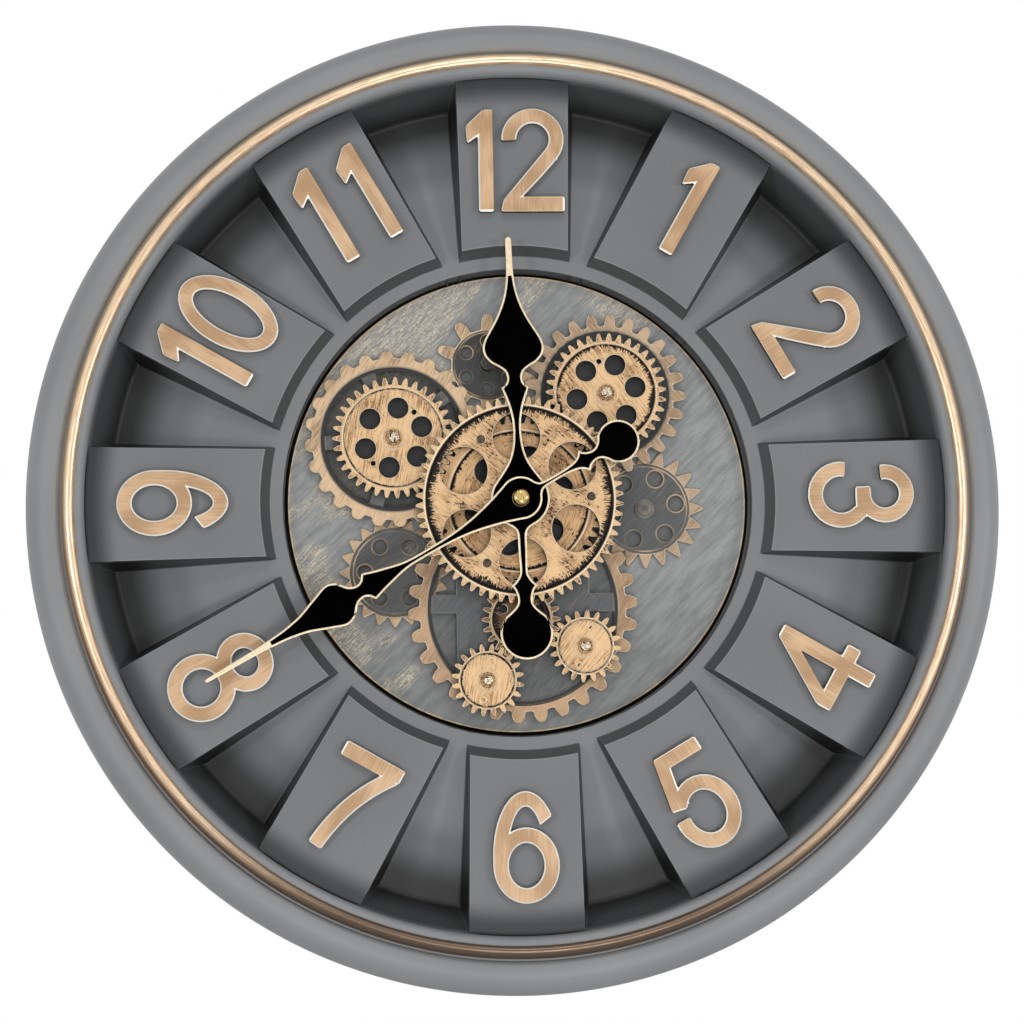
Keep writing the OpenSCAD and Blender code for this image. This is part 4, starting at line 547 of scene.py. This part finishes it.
def dry_brushed(name, centre, rim_r, turn, groove, line_r, holes, body, rub, wells):
    """Cream (rub) over the toothed rim beyond rim_r, on a grey body. groove = (inner, outer) is darkened with painted
    shade, a thin bronze line runs at line_r, and holes = (count, circle, radius, bearing) get a bronze line each.
    The sides get painted shade, the bevels a painted highlight, and wells add painted shade behind the turning gears."""
    made, tree = start_finish(name)
    out = radius_mm(tree, centre)
    strokes = grain(tree, (0.6, 10, 9), turn=turn, detail=4.0, rough=0.68)
    patch = grain(tree, (20, 20, 26), turn=turn, detail=2.0)
    amount = weighed(tree, (strokes, 0.75), (patch, 0.5))
    base = scaled(tree, tone(body)[:3], ramp(tree, strokes, 0.3, 0.7, 0.6, 1.0))
    colour = mix(tree, ramp(tree, amount, 0.72, 0.88, 0.0, 0.4), base, tone(rub))
    cream = mix(tree, ramp(tree, amount, 0.42, 0.72), tone("8c6f55"), tone(rub))
    colour = mix(tree, ramp(tree, out, rim_r - 0.4, rim_r + 0.4), colour, cream)
    marks = band(tree, out, rim_r, LINE_HALF, LINE_SOFT)
    if line_r:
        marks = sums(tree, "MAXIMUM", marks, band(tree, out, line_r, LINE_HALF, LINE_SOFT))
    if holes:
        count, circle, hole_r, bearing = holes
        away = from_holes(tree, centre, out, count, circle, bearing)
        marks = sums(tree, "MAXIMUM", marks, band(tree, away, hole_r + HOLE_LINE_OUT, 0.2, 0.5))
    marks = sums(tree, "MULTIPLY", marks, ramp(tree, patch, 0.4, 0.6, 0.1, 0.7))
    colour = mix(tree, marks, colour, tone("d9bd98"))
    if groove:
        inner, outer = groove
        # Painted shade in the groove.
        colour = mix(tree, band(tree, out, (inner + outer) / 2, (outer - inner) / 2, 0.3), colour, tone("2b2c2e"))
    # Painted shade on the sides, a painted highlight on the bevels, mostly on the toothed rim, then painted shade in
    # the wells.
    bevel_highlight_share = ramp(tree, out, rim_r - 1, rim_r, 0.12, 0.9)
    colour = in_wells(tree, side_shade_and_bevel_highlight(tree, colour, "191817", "ecd7b8", bevel_highlight_share), wells)
    return finish_with(tree, made, colour, 0.35, ramp(tree, strokes, 0.3, 0.7, 0.42, 0.56), height=strokes,
                       bump=0.22, depth=0.12)


# Heights and radii in mm for the painted shade low down and the painted highlight at the edge; cream changes by these
# shares for each mm to the right and upwards.
LOW_SHADE, PLATE_EDGE_HIGHLIGHT, CREAM_PER_RIGHT, CREAM_PER_UP = (-130, -10, 0.68, 1.0), (138.6, 139.3), -0.0011, 0.0007


def plate_finish(wells):
    """Long slanting strokes of two greys, darkened towards six o'clock by painted shade. Cream is rubbed in where a
    slow noise, the outer zone and the upper left side add up to enough; a painted highlight runs along the plate's
    edge, and the front gets painted shade in the wells behind the gears."""
    made, tree = start_finish("plate_gunmetal_rubbed")
    fine = grain(tree, (0.35, 10, 7), turn=46, detail=4.0, rough=0.72)
    broad = grain(tree, (4, 10, 26), turn=46, detail=3.0, rough=0.6)
    patch = grain(tree, (34, 34, 44), turn=50, centre=(20, 0), detail=2.0)
    speck = grain(tree, (0.7, 10, 1.6), turn=40, detail=4.0, rough=0.8)
    out = radius_mm(tree)
    base = mix(tree, ramp(tree, weighed(tree, (fine, 0.55), (broad, 0.5)), 0.42, 0.62), tone("7e8080"),
               tone("979998"))
    place = put(tree, "SeparateXYZ", Vector=flattened(tree)).outputs
    base = scaled(tree, base, ramp(tree, place["Z"], *LOW_SHADE))
    amount = weighed(tree, (patch, 1.0), (ramp(tree, out, 100, 138), 0.09), (place["X"], CREAM_PER_RIGHT),
                     (place["Z"], CREAM_PER_UP))
    rubbed = sums(tree, "MULTIPLY", ramp(tree, weighed(tree, (fine, 0.6), (speck, 0.45)), 0.5, 0.62),
                  ramp(tree, amount, 0.57, 0.69))
    colour = mix(tree, sums(tree, "MULTIPLY", rubbed, 0.9), base, tone("e0ceb0"))
    edge = ramp(tree, out, *PLATE_EDGE_HIGHLIGHT)
    colour = mix(tree, sums(tree, "MULTIPLY", edge, ramp(tree, broad, 0.4, 0.6, 0.4, 0.9)), colour, tone("d8bd95"))
    front_only = ramp(tree, facing(tree), -0.5, 0.3)
    colour = mix(tree, front_only, colour, in_wells(tree, colour, wells))
    return finish_with(tree, made, colour, 0.35, ramp(tree, fine, 0.3, 0.7, 0.4, 0.54), height=fine, bump=0.16,
                       depth=0.1)


def wells_behind(**sizes):
    """Wells of painted shade behind named nodes, each as (full within, gone beyond, share left)."""
    return tuple((centre_mm(node), *size) for node, size in sizes.items())


# Painted shade behind the gears, on the plate and on the fixed gears.
WELLS = ((HUB, 50, 66, 0.2),
         *wells_behind(upper_left_gear=(27, 35, 0.22), upper_right_gear=(27, 35, 0.22),
                       lower_left_pinion=(12, 21, 0.35), lower_right_pinion=(12, 21, 0.35)))
PLATE_WELLS = (*WELLS, *wells_behind(upper_left_gear=(41, 43, 0.35), upper_right_gear=(36, 39, 0.35),
                                     relief_gear_lower=(50, 60, 0.6), relief_gear_top=(17, 22, 0.35),
                                     relief_gear_left=(22, 28, 0.35), relief_gear_right=(23, 29, 0.4)))
plate_gunmetal = plate_finish(PLATE_WELLS)
print("plate", plate_gunmetal.name, "with", len(PLATE_WELLS), "wells")

# %% [markdown]
# ## Hands, brass, steel and the parts behind
# Pale gold edges frame a deep black enamel on the hands. The works behind are moulded plastic, turned brass,
# drawn steel, copper wire, and a fibre panel with a zinc hanger.

# %% Plain metals
def turned_metal(name, light, dark, rough=0.28, size=(0.4, 3, 6), metallic=1.0, bump=0.08):
    """Two tones in fine lines whose cells have a size in mm."""
    made, tree = start_finish(name)
    lines = grain(tree, size, detail=3.0)
    return finish_with(tree, made, mix(tree, ramp(tree, lines, 0.35, 0.65), tone(dark), tone(light)), metallic,
                       ramp(tree, lines, 0.3, 0.7, rough, rough + 0.12), height=lines, bump=bump, depth=0.04)


def hand_edge():
    """Pale gold in front, and brown painted shade on the sides below."""
    made, tree = start_finish("hand_gold")
    lines = grain(tree, (0.5, 3, 3), detail=3.0)
    colour = mix(tree, ramp(tree, lines, 0.35, 0.65), tone("e9d2ab"), tone("fbecd0"))
    colour = mix(tree, ramp(tree, facing(tree), 0.1, 0.5), tone("7b6248"), colour)
    return finish_with(tree, made, colour, 0.7, 0.3)


hand_gold = hand_edge()
cap_brass = turned_metal("cap_polished_brass", "e6cd8e", "b08a45", rough=0.08, bump=0.02)
brass = turned_metal("turned_brass", "d9b36c", "b78e4d")
steel = turned_metal("drawn_steel", "d8d4cc", "a9a59d")
stud_steel = turned_metal("worn_stud", "ece0c8", "8d7c64", rough=0.3, size=(1.2, 3, 1.2), bump=0.4)
collar_bronze = turned_metal("waxed_collar", "c79e70", "4b3826", rough=0.4, size=(0.9, 3, 0.9), metallic=0.6)
rivet_dark = turned_metal("dark_rivet", "6d5b4a", "2a211a", rough=0.4, size=(1.2, 3, 1.2), metallic=0.6)


# %% Enamel, plastics, rubber
def moulded(name, colour, other, rough=0.45, grain_mm=0.8, bump=0.15, gloss=0.5):
    """Two tones that drift into each other over 18 mm, under a fine skin."""
    made, tree = start_finish(name)
    fine = grain(tree, (grain_mm,) * 3, detail=3.0)
    slow = grain(tree, (18, 18, 18), detail=1.0)
    return finish_with(tree, made, mix(tree, ramp(tree, slow, 0.3, 0.7), tone(other), tone(colour)), 0.0,
                       ramp(tree, fine, 0.3, 0.7, rough - 0.05, rough + 0.05), height=fine, bump=bump, depth=0.05,
                       Specular_IOR_Level=gloss)


hand_black = moulded("hand_black_enamel", "020202", "040404", rough=0.5, grain_mm=2.5, bump=0.04, gloss=0.0)
case_plastic = moulded("case_black_plastic", "242527", "1d1e20")
rubber = moulded("soft_rubber", "161617", "202022", rough=0.7)
panel_board = moulded("fibre_panel", "3d3b38", "2c2a28", rough=0.75, grain_mm=1.6, bump=0.5)
switch_red = moulded("switch_red_plastic", "b3392b", "9f2f23", rough=0.38)
board_green = moulded("circuit_lacquer", "2d6a3a", "255a31", rough=0.3, grain_mm=1.2)


# %% Zinc, copper wire and cells
def spangled_zinc():
    """Zinc flakes of about 4 mm, each with its own tone and gloss."""
    made, tree = start_finish("spangled_zinc")
    flakes = put(tree, "TexVoronoi", Vector=own_mm(tree, (4, 4, 4)), Scale=1.0).outputs["Color"]
    level = put(tree, "SeparateColor", i0=flakes).outputs[0]
    return finish_with(tree, made, mix(tree, level, tone("9da0a1"), tone("c6c8c8")), 0.9,
                       ramp(tree, level, 0.0, 1.0, 0.32, 0.48))


ONE_BAND = 0.314


def banded(name, axis, period, light, dark, metallic, rough):
    """Bands along one axis, such as wire turns or a cell's label; period is in mm, and the wave repeats once over it
    at a scale of a tenth of pi."""
    made, tree = start_finish(name)
    wave = put(tree, "TexWave", {"wave_type": "BANDS", "bands_direction": axis}, Vector=own_mm(tree, (period,) * 3),
               Scale=ONE_BAND, Distortion=0.0).outputs["Fac"]
    level = weighed(tree, (wave, 0.85), (grain(tree, (0.6, 0.6, 0.6)), 0.15))
    return finish_with(tree, made, mix(tree, ramp(tree, level, 0.3, 0.7), tone(dark), tone(light)), metallic,
                       rough, height=wave, bump=0.3, depth=0.1)


zinc = spangled_zinc()
coil_copper = banded("coil_copper", "X", 0.4, "c8703f", "7a3a1c", 0.8, 0.35)
cell_wrap = banded("cell_wrap", "X", 25.0, "4f8a68", "2a3b33", 0.2, 0.3)
print(len(bpy.data.materials), "finishes so far")

# %% [markdown]
# ## The rim
# The rim is one revolved moulding: a side that leans in, a broad rounded band, a narrow ledge, the seat of the
# bead and a soft lip that falls to the dial. A closed profile is carried round the axis, so the shape is the
# same from every side. The bead lies in its seat, with its crest near the lip.

# %% Rim and bead
shoulder_h = CROWN_H - BAND_ROUND_H
rim_profile = np.concatenate([
    [[CLOCK_R - SKIN, 0.0]],
    arc(CLOCK_R - HEEL, HEEL, HEEL, HEEL, -90, 0, 6),
    arc(CROWN_R, shoulder_h, CROWN_IN, BAND_ROUND_H, 0, 90, 36),
    arc(CROWN_R, LEDGE_H, CROWN_R - BEAD_OUT_R - LEDGE_W, CROWN_H - LEDGE_H, 96, 180, 12),
    [[BEAD_OUT_R, LEDGE_H], [BEAD_OUT_R, SEAT_H], [BEAD_IN_R, SEAT_H]],
    arc(BEAD_IN_R, LIP_H - LIP_DROP, BEAD_IN_R - RIM_IN_R, LIP_DROP, 90, 180, 14),
    [[RIM_IN_R, BLOCK_H], [FLANGE_R, BLOCK_H]],
    arc(CROWN_R, shoulder_h, CROWN_IN - SKIN, BLOCK_H - shoulder_h, 60, 0, 10),
])
rim = new_piece("rim", revolve("rim", rim_profile), rim_paint, "clock", "rim_paint", "outer_frame", sharp_over=50)
bead_profile = np.concatenate([
    [[BEAD_IN_R, SEAT_H]], arc(CREST_R, SEAT_H, BEAD_OUT_R - CREST_R, BEAD_TOP_H - SEAT_H, 0, 90, 20),
    arc(CREST_R, LIP_H, CREST_R - BEAD_IN_R, BEAD_TOP_H - LIP_H, 99, 180, 10)])
bead = new_piece("bead", revolve("bead", bead_profile, 480), bead_bronze, "clock", "bead_bronze", "trim_ring",
                 sharp_over=60)
print("rim", len(rim.data.polygons), "faces; bead", len(bead.data.polygons))

# %% [markdown]
# ## The dial tray
# One moulding again: a flat ring round the gears, twelve blocks, and sloping pockets between them. It repeats
# every thirty degrees, so half of one repeat is worked out and mirrored. At each radius the section is a
# line of four corners: block centre, block edge, foot of the block's side, pocket centre. Its two inner
# corners are rounded, and the rows of the grid crowd together where the profile along the radius bends.

# %% Tray
TAPER = math.atan((BLOCK_OUT_W - BLOCK_IN_W) / 2 / (RIM_IN_R - BLOCK_IN_R))
BLOCK_HALF = BLOCK_IN_W / 2 - BLOCK_IN_R * math.tan(TAPER)
CRISP, SOFT, EDGE_TOP, EDGE_FOOT = 0.5, 1.6, 0.9, 1.8
CUT_MOST, MIDDLE_KEPT, LIP_UNDER, LIP_OVER = 0.45, 0.4, 4.5, 2.0
STEP_REACH, FOOT_REACH = 0.7, 3.0


def soft_line(r, corners, reach):
    """Height along a line of corners (r, h) whose bends are eased: it is the mean of the plain line over
    a window of the given half width."""
    shifts = np.linspace(-reach, reach, 9)[:, None]
    corners = np.asarray(corners, float)
    return np.interp(r[None, :] + shifts, corners[:, 0], corners[:, 1]).mean(0)


def rounded_section(s, h, soft_top, soft_foot):
    """Samples of a section with corners s[0..3], h[0..3]; corners 1 and 2 become curves that start a given
    distance away, but never past a set share of the side between them."""
    side = np.hypot(s[2] - s[1], h[2] - h[1])
    cut_top = np.minimum(soft_top, CUT_MOST * side)
    cut_foot = np.minimum(np.minimum(soft_foot, CUT_MOST * side), CUT_MOST * (s[3] - s[2]))
    ds, dh = (s[2] - s[1]) / np.maximum(side, 1e-6), (h[2] - h[1]) / np.maximum(side, 1e-6)

    def curve(a, b, c, t):
        """Curve from a to c with its handle at b: a (1 - t)^2 + 2 b t (1 - t) + c t^2."""
        return a * (1 - t) ** 2 + 2 * b * t * (1 - t) + c * t * t

    t_flat = np.array([0, 0.3, 0.6, 0.85])[:, None]
    t_turn = np.linspace(0, 1, 6)[:, None]
    t_side = np.array([0.25, 0.5, 0.75])[:, None]
    t_floor = np.array([0.2, 0.45, 0.7, 1.0])[:, None]
    parts = []
    for value, slope, flat_top, flat_foot in ((s, ds, 1.0, 1.0), (h, dh, 0.0, 0.0)):
        before_top, after_top = value[1] - flat_top * cut_top, value[1] + slope * cut_top
        before_foot, after_foot = value[2] - slope * cut_foot, value[2] + flat_foot * cut_foot
        parts.append(np.concatenate([
            value[0] + (before_top - value[0]) * t_flat,
            curve(before_top, value[1], after_top, t_turn),
            after_top + (before_foot - after_top) * t_side,
            curve(before_foot, value[2], after_foot, t_turn),
            after_foot + (value[3] - after_foot) * t_floor]))
    return parts


def around(radius, reach, steps=9):
    """Rows that crowd round a radius."""
    return np.linspace(radius - reach, radius + reach, steps)


def tray_front():
    """Grid of the tray's front. Rows run outwards from the ring's lip, columns once round the dial."""
    rows = np.concatenate([
        np.linspace(RING_IN_R + RING_EDGE, RING_OUT_R - 1, 6), around(RING_OUT_R, STEP_REACH),
        np.linspace(RING_OUT_R + 1.2, BLOCK_IN_R - 1.2, 4), around(BLOCK_IN_R, STEP_REACH),
        np.linspace(BLOCK_IN_R + 3, POCKET_OUT_R - 5, 22), around(POCKET_OUT_R, FOOT_REACH),
        np.linspace(POCKET_OUT_R + 5, RIM_IN_R, 6)])
    block = soft_line(rows, [(0, RING_H), (RING_OUT_R, RING_H), (BLOCK_IN_R, BLOCK_H), (CLOCK_R, BLOCK_H)], CRISP)
    floor = soft_line(rows, [(0, RING_H), (RING_OUT_R, RING_H), (POCKET_OUT_R, POCKET_H), (RIM_IN_R, BLOCK_H),
                             (CLOCK_R, BLOCK_H)], SOFT)
    floor[-1] = BLOCK_H
    floor = np.minimum(floor, block)

    def edge_angle(height):
        """Half angle of a block at each row, wider towards the wall by its draft."""
        away = (BLOCK_HALF + (BLOCK_H - height) * DRAFT) * math.cos(TAPER)
        return TAPER + np.arcsin(away / rows)

    top, foot = edge_angle(block) * rows, edge_angle(floor) * rows
    half_repeat = math.pi / HOURS
    middle = half_repeat * rows
    s, h = rounded_section([0 * rows, top, np.minimum(foot, middle - MIDDLE_KEPT), middle],
                           [block, block, floor, floor], EDGE_TOP, EDGE_FOOT)
    bearing = s / rows[None, :]
    whole = np.concatenate([bearing, 2 * half_repeat - bearing[-2:0:-1]])
    height = np.concatenate([h, h[-2:0:-1]])
    turns = 2 * half_repeat * np.arange(HOURS)[:, None, None]
    all_bearings = (whole[None, :, :] + turns).reshape(-1, len(rows))
    grid = dial_point(rows[:, None], all_bearings.T, np.tile(height, (HOURS, 1)).T)
    lip = np.concatenate([[[RING_IN_R, PLATE_FRONT_H - LIP_UNDER], [RING_IN_R, PLATE_FRONT_H + LIP_OVER]],
                          arc(RING_IN_R + RING_EDGE, RING_H - RING_EDGE, RING_EDGE, RING_EDGE, 180, 100, 6)])
    collar = dial_point(lip[:, :1], all_bearings[:, 0][None, :], lip[:, 1:])
    return np.concatenate([collar, grid])


tray_mesh = grid_mesh("tray", tray_front(), close_columns=True)
tray = new_piece("tray", tray_mesh, dial_paint, "clock", "dial_paint", "dial_tray", sharp_over=60)
front_normals = np.zeros(len(tray_mesh.polygons) * 3, np.float32)
tray_mesh.polygons.foreach_get("normal", front_normals)
if front_normals[1::3].mean() > 0:
    tray_mesh.flip_normals()
wall = tray.modifiers.new("wall", "SOLIDIFY")
wall.thickness, wall.offset = TRAY_WALL * MM, -1.0
print("tray", len(tray_mesh.polygons), "faces")


# %% [markdown]
# ## Cut metal pieces
# Gears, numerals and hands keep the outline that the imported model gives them. A copy of the node has its
# doubled points merged, and a Bevel modifier then breaks every sharp edge by up to a millimetre, because only a
# real facet or radius along the edge makes a bright line.

# %% Bevelled copies
MERGE_WITHIN, SHARP_FROM, ROUND_SEGMENTS = 0.004, 32, 3
NUMERAL_EDGE, GEAR_EDGE, RELIEF_EDGE = 0.85, 0.45, 0.5


def bevelled(node, finish, width, segments=1):
    """A copy of a node with merged points and edges broken by a width in mm. A single segment is a flat facet,
    which catches the light as one bright line; more segments make a round edge."""
    mesh = nodes[node].data.copy()
    mesh.name = node + "_cut"
    if "custom_normal" in mesh.attributes:
        mesh.attributes.remove(mesh.attributes["custom_normal"])
    work = bmesh.new()
    work.from_mesh(mesh)
    bmesh.ops.remove_doubles(work, verts=work.verts, dist=MERGE_WITHIN * MM)
    work.to_mesh(mesh)
    work.free()
    piece = new_piece(node + "_cut", mesh, finish, body_of_node[node], slot_of_node[node], node)
    soften = piece.modifiers.new("edge", "BEVEL")
    soften.width, soften.segments, soften.limit_method = width * MM, segments, "ANGLE"
    soften.angle_limit, soften.harden_normals = math.radians(SHARP_FROM), segments > 1
    soften.use_clamp_overlap = False
    if segments == 1:
        mesh.polygons.foreach_set("use_smooth", np.zeros(len(mesh.polygons), bool))


for hour in range(1, HOURS + 1):
    bevelled(f"numeral_{hour}", brushed_bronze(f"numeral_bronze_{hour}", 360 / HOURS * hour), NUMERAL_EDGE)
print(HOURS, "numerals")

# %% Turning gears: engraved ring, direction of the rubbing, run of the wax and curved strokes
GEARS = {"main_gear_front": (56.3, -50, 5.5, False), "main_gear_rear": (42.2, 20, 2.5, True),
         "upper_left_gear": (30.2, 12, 1.0, False), "upper_right_gear": (30.2, -35, 4.0, False),
         "lower_left_pinion": (16.3, 10, 1.4, False), "lower_right_pinion": (16.3, 40, 0.8, False),
         "drive_gear": (17.4, 70, 6.0, False)}
SPECIAL = {"drive_gear": {"light": "8a6b4d", "mid": "4f3a29"}, "main_gear_front": {"scratched": 0.29, "line_half": 0.6},
           "main_gear_rear": {"scratched": 0.29, "light": "d3ab7d", "line_half": 0.3}}
for node, recipe in GEARS.items():
    waxed_and_shaded = antique_bronze(node + "_wax_and_shade", centre_mm(node), *recipe, **SPECIAL.get(node, {}))
    bevelled(node, waxed_and_shaded, GEAR_EDGE)
print(len(GEARS), "turning gears")

# %% Fixed gears: start of the creamed rim, direction, groove in painted shade, thin line, holes, and the tones of body and cream
RELIEFS = {"relief_gear_upper_left": (44.6, 30, (41.6, 44.5), None, None, "6b6c6b", "dcbd98"),
           "relief_gear_upper_right": (39.9, -40, (35.5, 39.9), None, None, "6b6c6b", "c4a98c"),
           "relief_gear_top": (21.5, 20, None, 20.2, (6, 14.9, 3.7, 1), "474847", "dfc09b"),
           "relief_gear_left": (27.4, 60, None, 25.0, (6, 18.0, 4.4, 31), "5b5c5b", "c9ab88"),
           "relief_gear_right": (28.0, 45, None, 26.0, (6, 19.6, 4.9, 21), "5f6060", "bba287"),
           "relief_gear_lower": (58.3, 35, (55.5, 58.3), None, None, "646667", "bd9c7b")}
for node, recipe in RELIEFS.items():
    bevelled(node, dry_brushed(node + "_cream", centre_mm(node), *recipe, WELLS), RELIEF_EDGE)
print(len(RELIEFS), "fixed gears")

# %% Hands, cap and studs
ROUNDED = {"hour_hand": (hand_gold, 0.35), "minute_hand": (hand_gold, 0.35),
           "hour_hand_inlay": (hand_black, 0.15), "minute_hand_inlay": (hand_black, 0.15),
           "cap_nut": (cap_brass, 0.2), "gear_studs": (stud_steel, 0.4), "stud_collars": (collar_bronze, 0.3),
           "main_gear_rivets": (rivet_dark, 0.3)}
for node, (finish, width) in ROUNDED.items():
    bevelled(node, finish, width, ROUND_SEGMENTS)
print(len(ROUNDED), "pieces with round edges")

# %% [markdown]
# ## Pieces kept as packed
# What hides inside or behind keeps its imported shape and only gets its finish.

# %% Finishes for the kept nodes
KEPT = {steel: ("minute_arbor", "drive_shaft", "drive_motor", "screws", "battery_contacts"),
        brass: ("gear_sleeve", "movement_bush", "bush_nut", "hour_wheel", "minute_wheel"),
        case_plastic: ("movement_case", "movement_cover", "setting_knob", "drive_housing"),
        rubber: ("rubber_washer", "wall_bumpers"), coil_copper: ("stepper_coil",), board_green: ("circuit_board",),
        cell_wrap: ("movement_cell", "drive_cells"), switch_red: ("switch_slider",), panel_board: ("rear_panel",),
        zinc: ("hanger_plate",), plate_gunmetal: ("gear_plate",)}
for finish, members in KEPT.items():
    for node in members:
        nodes[node].data.materials.clear()
        nodes[node].data.materials.append(finish)
replaced = {n for o in bpy.data.objects if "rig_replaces" in o for n in o["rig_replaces"]}
print("kept", sum(len(m) for m in KEPT.values()), "replaced", len(replaced), "of", len(nodes))

# %% [markdown]
# ## Floor
# A pale floor well below the clock catches a little shadow in the side views and stays out of the portrait.

# %% Floor
FLOOR_HALF, FLOOR_Z = 3.0, -1.2
floor_finish, floor_tree = start_finish("pale_floor")
finish_with(floor_tree, floor_finish, tone("e8e8e6"), metallic=0.0, roughness=0.8)
floor_x, floor_y = np.meshgrid([-FLOOR_HALF, FLOOR_HALF], [-FLOOR_HALF, FLOOR_HALF])
floor_points = np.stack([floor_x, floor_y, np.full((2, 2), FLOOR_Z)], axis=-1)
floor_sheet = bpy.data.objects.new("floor", grid_mesh("floor", floor_points))
bpy.context.scene.collection.objects.link(floor_sheet)
floor_sheet.data.materials.append(floor_finish)
print("floor", -FLOOR_Z, "m below the clock's centre")
